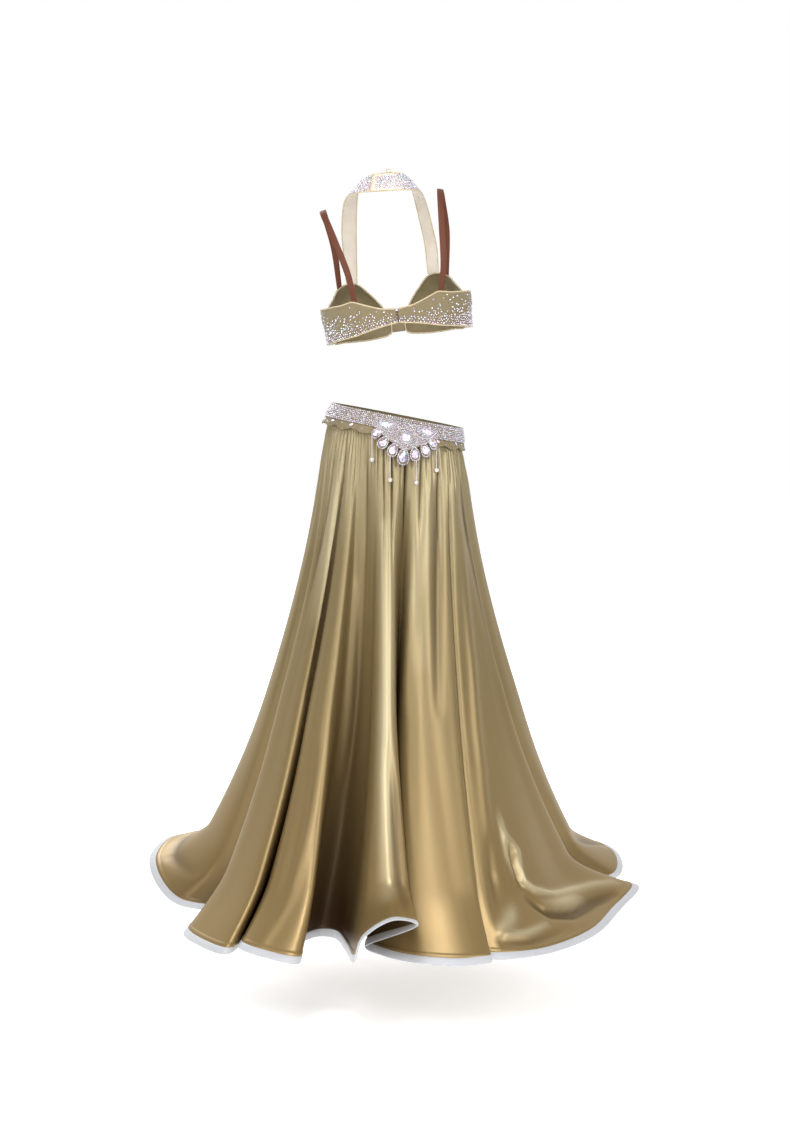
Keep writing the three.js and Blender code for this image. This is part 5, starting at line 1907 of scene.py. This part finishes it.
@dataclass
class Harness:
    """Shoulder straps, the halter with its overlap at the nape, and the small loop on it."""

    bra: Bra = field(default_factory=Bra)
    strap_width: float = 0.011
    strap_wall: float = 0.0015
    tucked: float = 0.009
    wing_gap: float = 0.0006
    strap_rim_gap: float = 0.00085
    halter_rim_gap: float = 0.00115
    halter_wall: float = 0.0015
    stone: float = 0.0034
    strap_angles: tuple[float, float] = (35.5, 40.0)
    # outer edge, and the way across to the inner edge, in millimetres
    straps: tuple[Table, Table] = (
        (
            (92, 86, 245, -11, 2, 2), (117, 62, 308, -11, 3, 3), (136, 28, 352, -11, 2, 4),
            (139, -8, 362, -11, -1, 4), (133, -44, 344, -11, -3, 2), (121, -74, 300, -11, -4, 1),
        ),
        (
            (-86, 84, 262, 11, 1.6, 0), (-83, 66, 335, 11, 1, 1), (-81, 32, 388, 11, 1, 2),
            (-82, -4, 401, 11, 0, 2), (-87, -42, 382, 11, -1, 2), (-95, -74, 332, 11, -2, 1),
        ),
    )
    halters: tuple[Table, Table] = (
        (
            (16, 41, 426, 0, 7, -30), (36, 37, 425, 6, 9, -30), (56, 24, 421, 16, 9, -28),
            (68, -4, 409, 24, 5, -24), (73, -38, 380, 26, -1, -20), (75, -72, 338, 26, -4, -15),
            (75, -98, 294, 23, 1, -7),
        ),
        (
            (43, 39.6, 425, 7, 9.6, -30), (18, 45.4, 427, -1, 7.6, -31), (-6, 35, 427, -12, 9, -29),
            (-18, 8, 422, -21, 6, -24), (-27, -28, 400, -24, 0, -20), (-39, -66, 356, -24, -4, -15),
            (-50, -96, 310, -22, 1, -7),
        ),
    )

    def cup_seat(self, side: int, row: int, gap: float) -> Array:
        """Point over a cup's edge where a strap ends."""
        ribs = self.bra.ribs
        spot = np.array(self.bra.cup_edge[row]) * MM * (side, 1, 1)
        return ribs.leaned(spot) + (0.0, 0.0, gap)

    def strap_edges(self, index: int) -> tuple[Array, Array]:
        """Outer and inner edges of a shoulder strap."""
        side = (1, -1)[index]
        bra = self.bra
        angle = self.strap_angles[index]
        width_angle = math.degrees(self.strap_width / bra.ribs.half_width)
        under = -(self.wing_gap + self.strap_wall / 2)
        table = np.array(bra.edges)
        edges = []
        for edge, shift in enumerate((0.0, width_angle)):
            at = angle - shift
            top = float(np.interp(at, table[:, 0], table[:, 1])) * MM
            start = [
                bra.ribs.point(np.array([at]), side, np.array([top + above]), under)[0]
                for above in (-self.tucked, 0.0)
            ]
            rows = np.array(self.straps[index]) * MM
            seat = self.cup_seat(side, 1 + edge, self.strap_rim_gap)
            edges.append(np.vstack([*start, rows[:, :3] + edge * rows[:, 3:], seat]))
        return edges[0], edges[1]

    def halter_edges(self, index: int) -> tuple[Array, Array]:
        """Upper and lower edges of half of the halter."""
        side = (1, -1)[index]
        rows = np.array(self.halters[index]) * MM
        seats = [self.cup_seat(side, row, self.halter_rim_gap) for row in (4, 3)]
        return np.vstack([rows[:, :3], seats[0]]), np.vstack([rows[:, :3] + rows[:, 3:], seats[1]])

    @staticmethod
    def strip(edges: tuple[Array, Array], columns: int, rows: int) -> tuple[Array, Array, Array]:
        """Grid between two edges.

        Args:
            edges: The two edges' points.
            columns: Steps along it.
            rows: Steps across it.

        Returns:
            The points, their normals and the distance along the middle.
        """
        place = np.linspace(0, len(edges[0]) - 1, columns + 1)
        first, second = (curve(edge, place, False) for edge in edges)
        share = np.linspace(0, 1, rows + 1)[:, None, None]
        points = first + (second - first) * share
        return points, normals_of(points), travelled(points[rows // 2])

    def band(self, name: str, edges: tuple[Array, Array], wall: float, material: Material) -> Piece:
        """Makes a flat strip with rounded edges.

        Args:
            name: The piece's name.
            edges: Its two edges.
            wall: Its thickness.
            material: Its material.

        Returns:
            The piece.
        """
        points, normals, travel = self.strip(edges, 150, 8)
        rows = np.linspace(0, 1, 9)
        full = (0.35 + 0.65 * np.sin(np.pi * np.clip(rows, 0.0, 1.0)) ** 0.35)[:, None, None]
        sides = [points + side * normals * wall / 2 * full for side in (1, -1)]
        width = float(np.linalg.norm(points[-1, 75] - points[0, 75]))
        uv = flat_places((rows * width)[:, None], travel, points.shape[:2])
        return mesh_object(name, *shell(*sides), material, uv, 60.0)

    def halter_stones(self, index: int, name: str, material: Material) -> Piece:
        """Sets close rows of stones on one half of the halter."""
        tray = StoneTray(seed=60 + index)
        edges = self.halter_edges(index)
        points, normals, travel = self.strip(edges, 400, 60)
        inside = np.array([0.02, -0.03, 0.33])
        normals = facing(normals, points - inside)
        start = 0.006 if index else 0.0
        for along in np.arange(start + self.stone * 0.6, travel[-1] - 0.001, self.stone):
            column = int(np.interp(along, travel, np.arange(len(travel))))
            width = float(np.linalg.norm(points[-1, column] - points[0, column]))
            across = np.arange(-10, 11) * self.stone
            across = across[np.abs(across) < width / 2 - 0.0026]
            count = len(across)
            row = np.round((0.5 + across / width) * 60).astype(int)
            out = normals[row, column]
            centre = points[row, column] + out * self.halter_wall * 0.5
            way = np.tile(points[-1, column] - points[0, column], (count, 1))
            tray.strew(centre, way, out, self.stone * 0.96, 0.14)
        return tray.set_out(f"halter_stones_{name}", material)

    def halter_trim(self, index: int, name: str, material: Material) -> Piece:
        """Makes the piping along a halter half, and the ridge at the end that lies on top."""
        first, second = self.halter_edges(index)
        place = np.linspace(0, len(first) - 1, 160)
        lines = [curve(first, place, False), curve(second, place, False)]
        cords = [tube(line, 0.0011, 8) for line in lines]
        if index:
            share = np.linspace(0.02, 0.98, 14)[:, None]
            end = lines[0][1] + (lines[1][1] - lines[0][1]) * share
            outward = np.array([0.05, 1.0, 0.1]) * 0.0006
            cords.append(tube(end + outward, 0.0019, 8))
        return sewn(f"halter_piping_{name}", joined(cords), material, "nude_stretch")

    def loop(self, material: Material) -> Piece:
        """Makes the small loop on the nape band's upper edge."""
        turn = np.linspace(0, 2 * np.pi, 40, endpoint=False)
        centre, wide, high = (0.016, 0.0456, 0.4309), 0.0047, 0.0027
        line = np.column_stack([wide * np.cos(turn), 0 * turn, high * np.sin(turn)]) + centre
        cord = tube(line, 0.0008, 10, closed=True)
        return sewn("nape_loop", cord, material, "nude_stretch", "halter_loop")

    def build(self) -> None:
        """Builds the straps and the halter."""
        elastic, crystal = Elastic().make(), Crystal().make()
        nude = NudeStretch("halter_cloth", (0.50, 0.44, 0.36), (0.62, 0.56, 0.48)).make()
        trim = NudeStretch("halter_trim", *PIPING_TINTS).make()
        for index, name in enumerate(("left", "right")):
            strap = self.band(f"elastic_{name}", self.strap_edges(index), self.strap_wall, elastic)
            dress(strap, "elastic", f"strap_{name}")
            halter = self.band(f"nape_band_{name}", self.halter_edges(index), self.halter_wall, nude)
            dress(halter, "stoned_cloth", f"halter_{name}")
            stones = self.halter_stones(index, name, crystal)
            piping = self.halter_trim(index, name, trim)
        self.loop(trim)


def main() -> None:
    """Builds the costume, piece by piece."""
    logging.basicConfig(level=logging.INFO, format="%(name)s: %(message)s")
    studio = Studio()
    studio.place_camera()
    studio.build()
    parts: tuple[Callable[[], Any], ...] = (Skirt, Belt, Bra, Harness)
    for part in parts:
        made = part()
        made.build()
        log.info("%s is built", part.__name__)


if __name__ == "__main__":
    main()
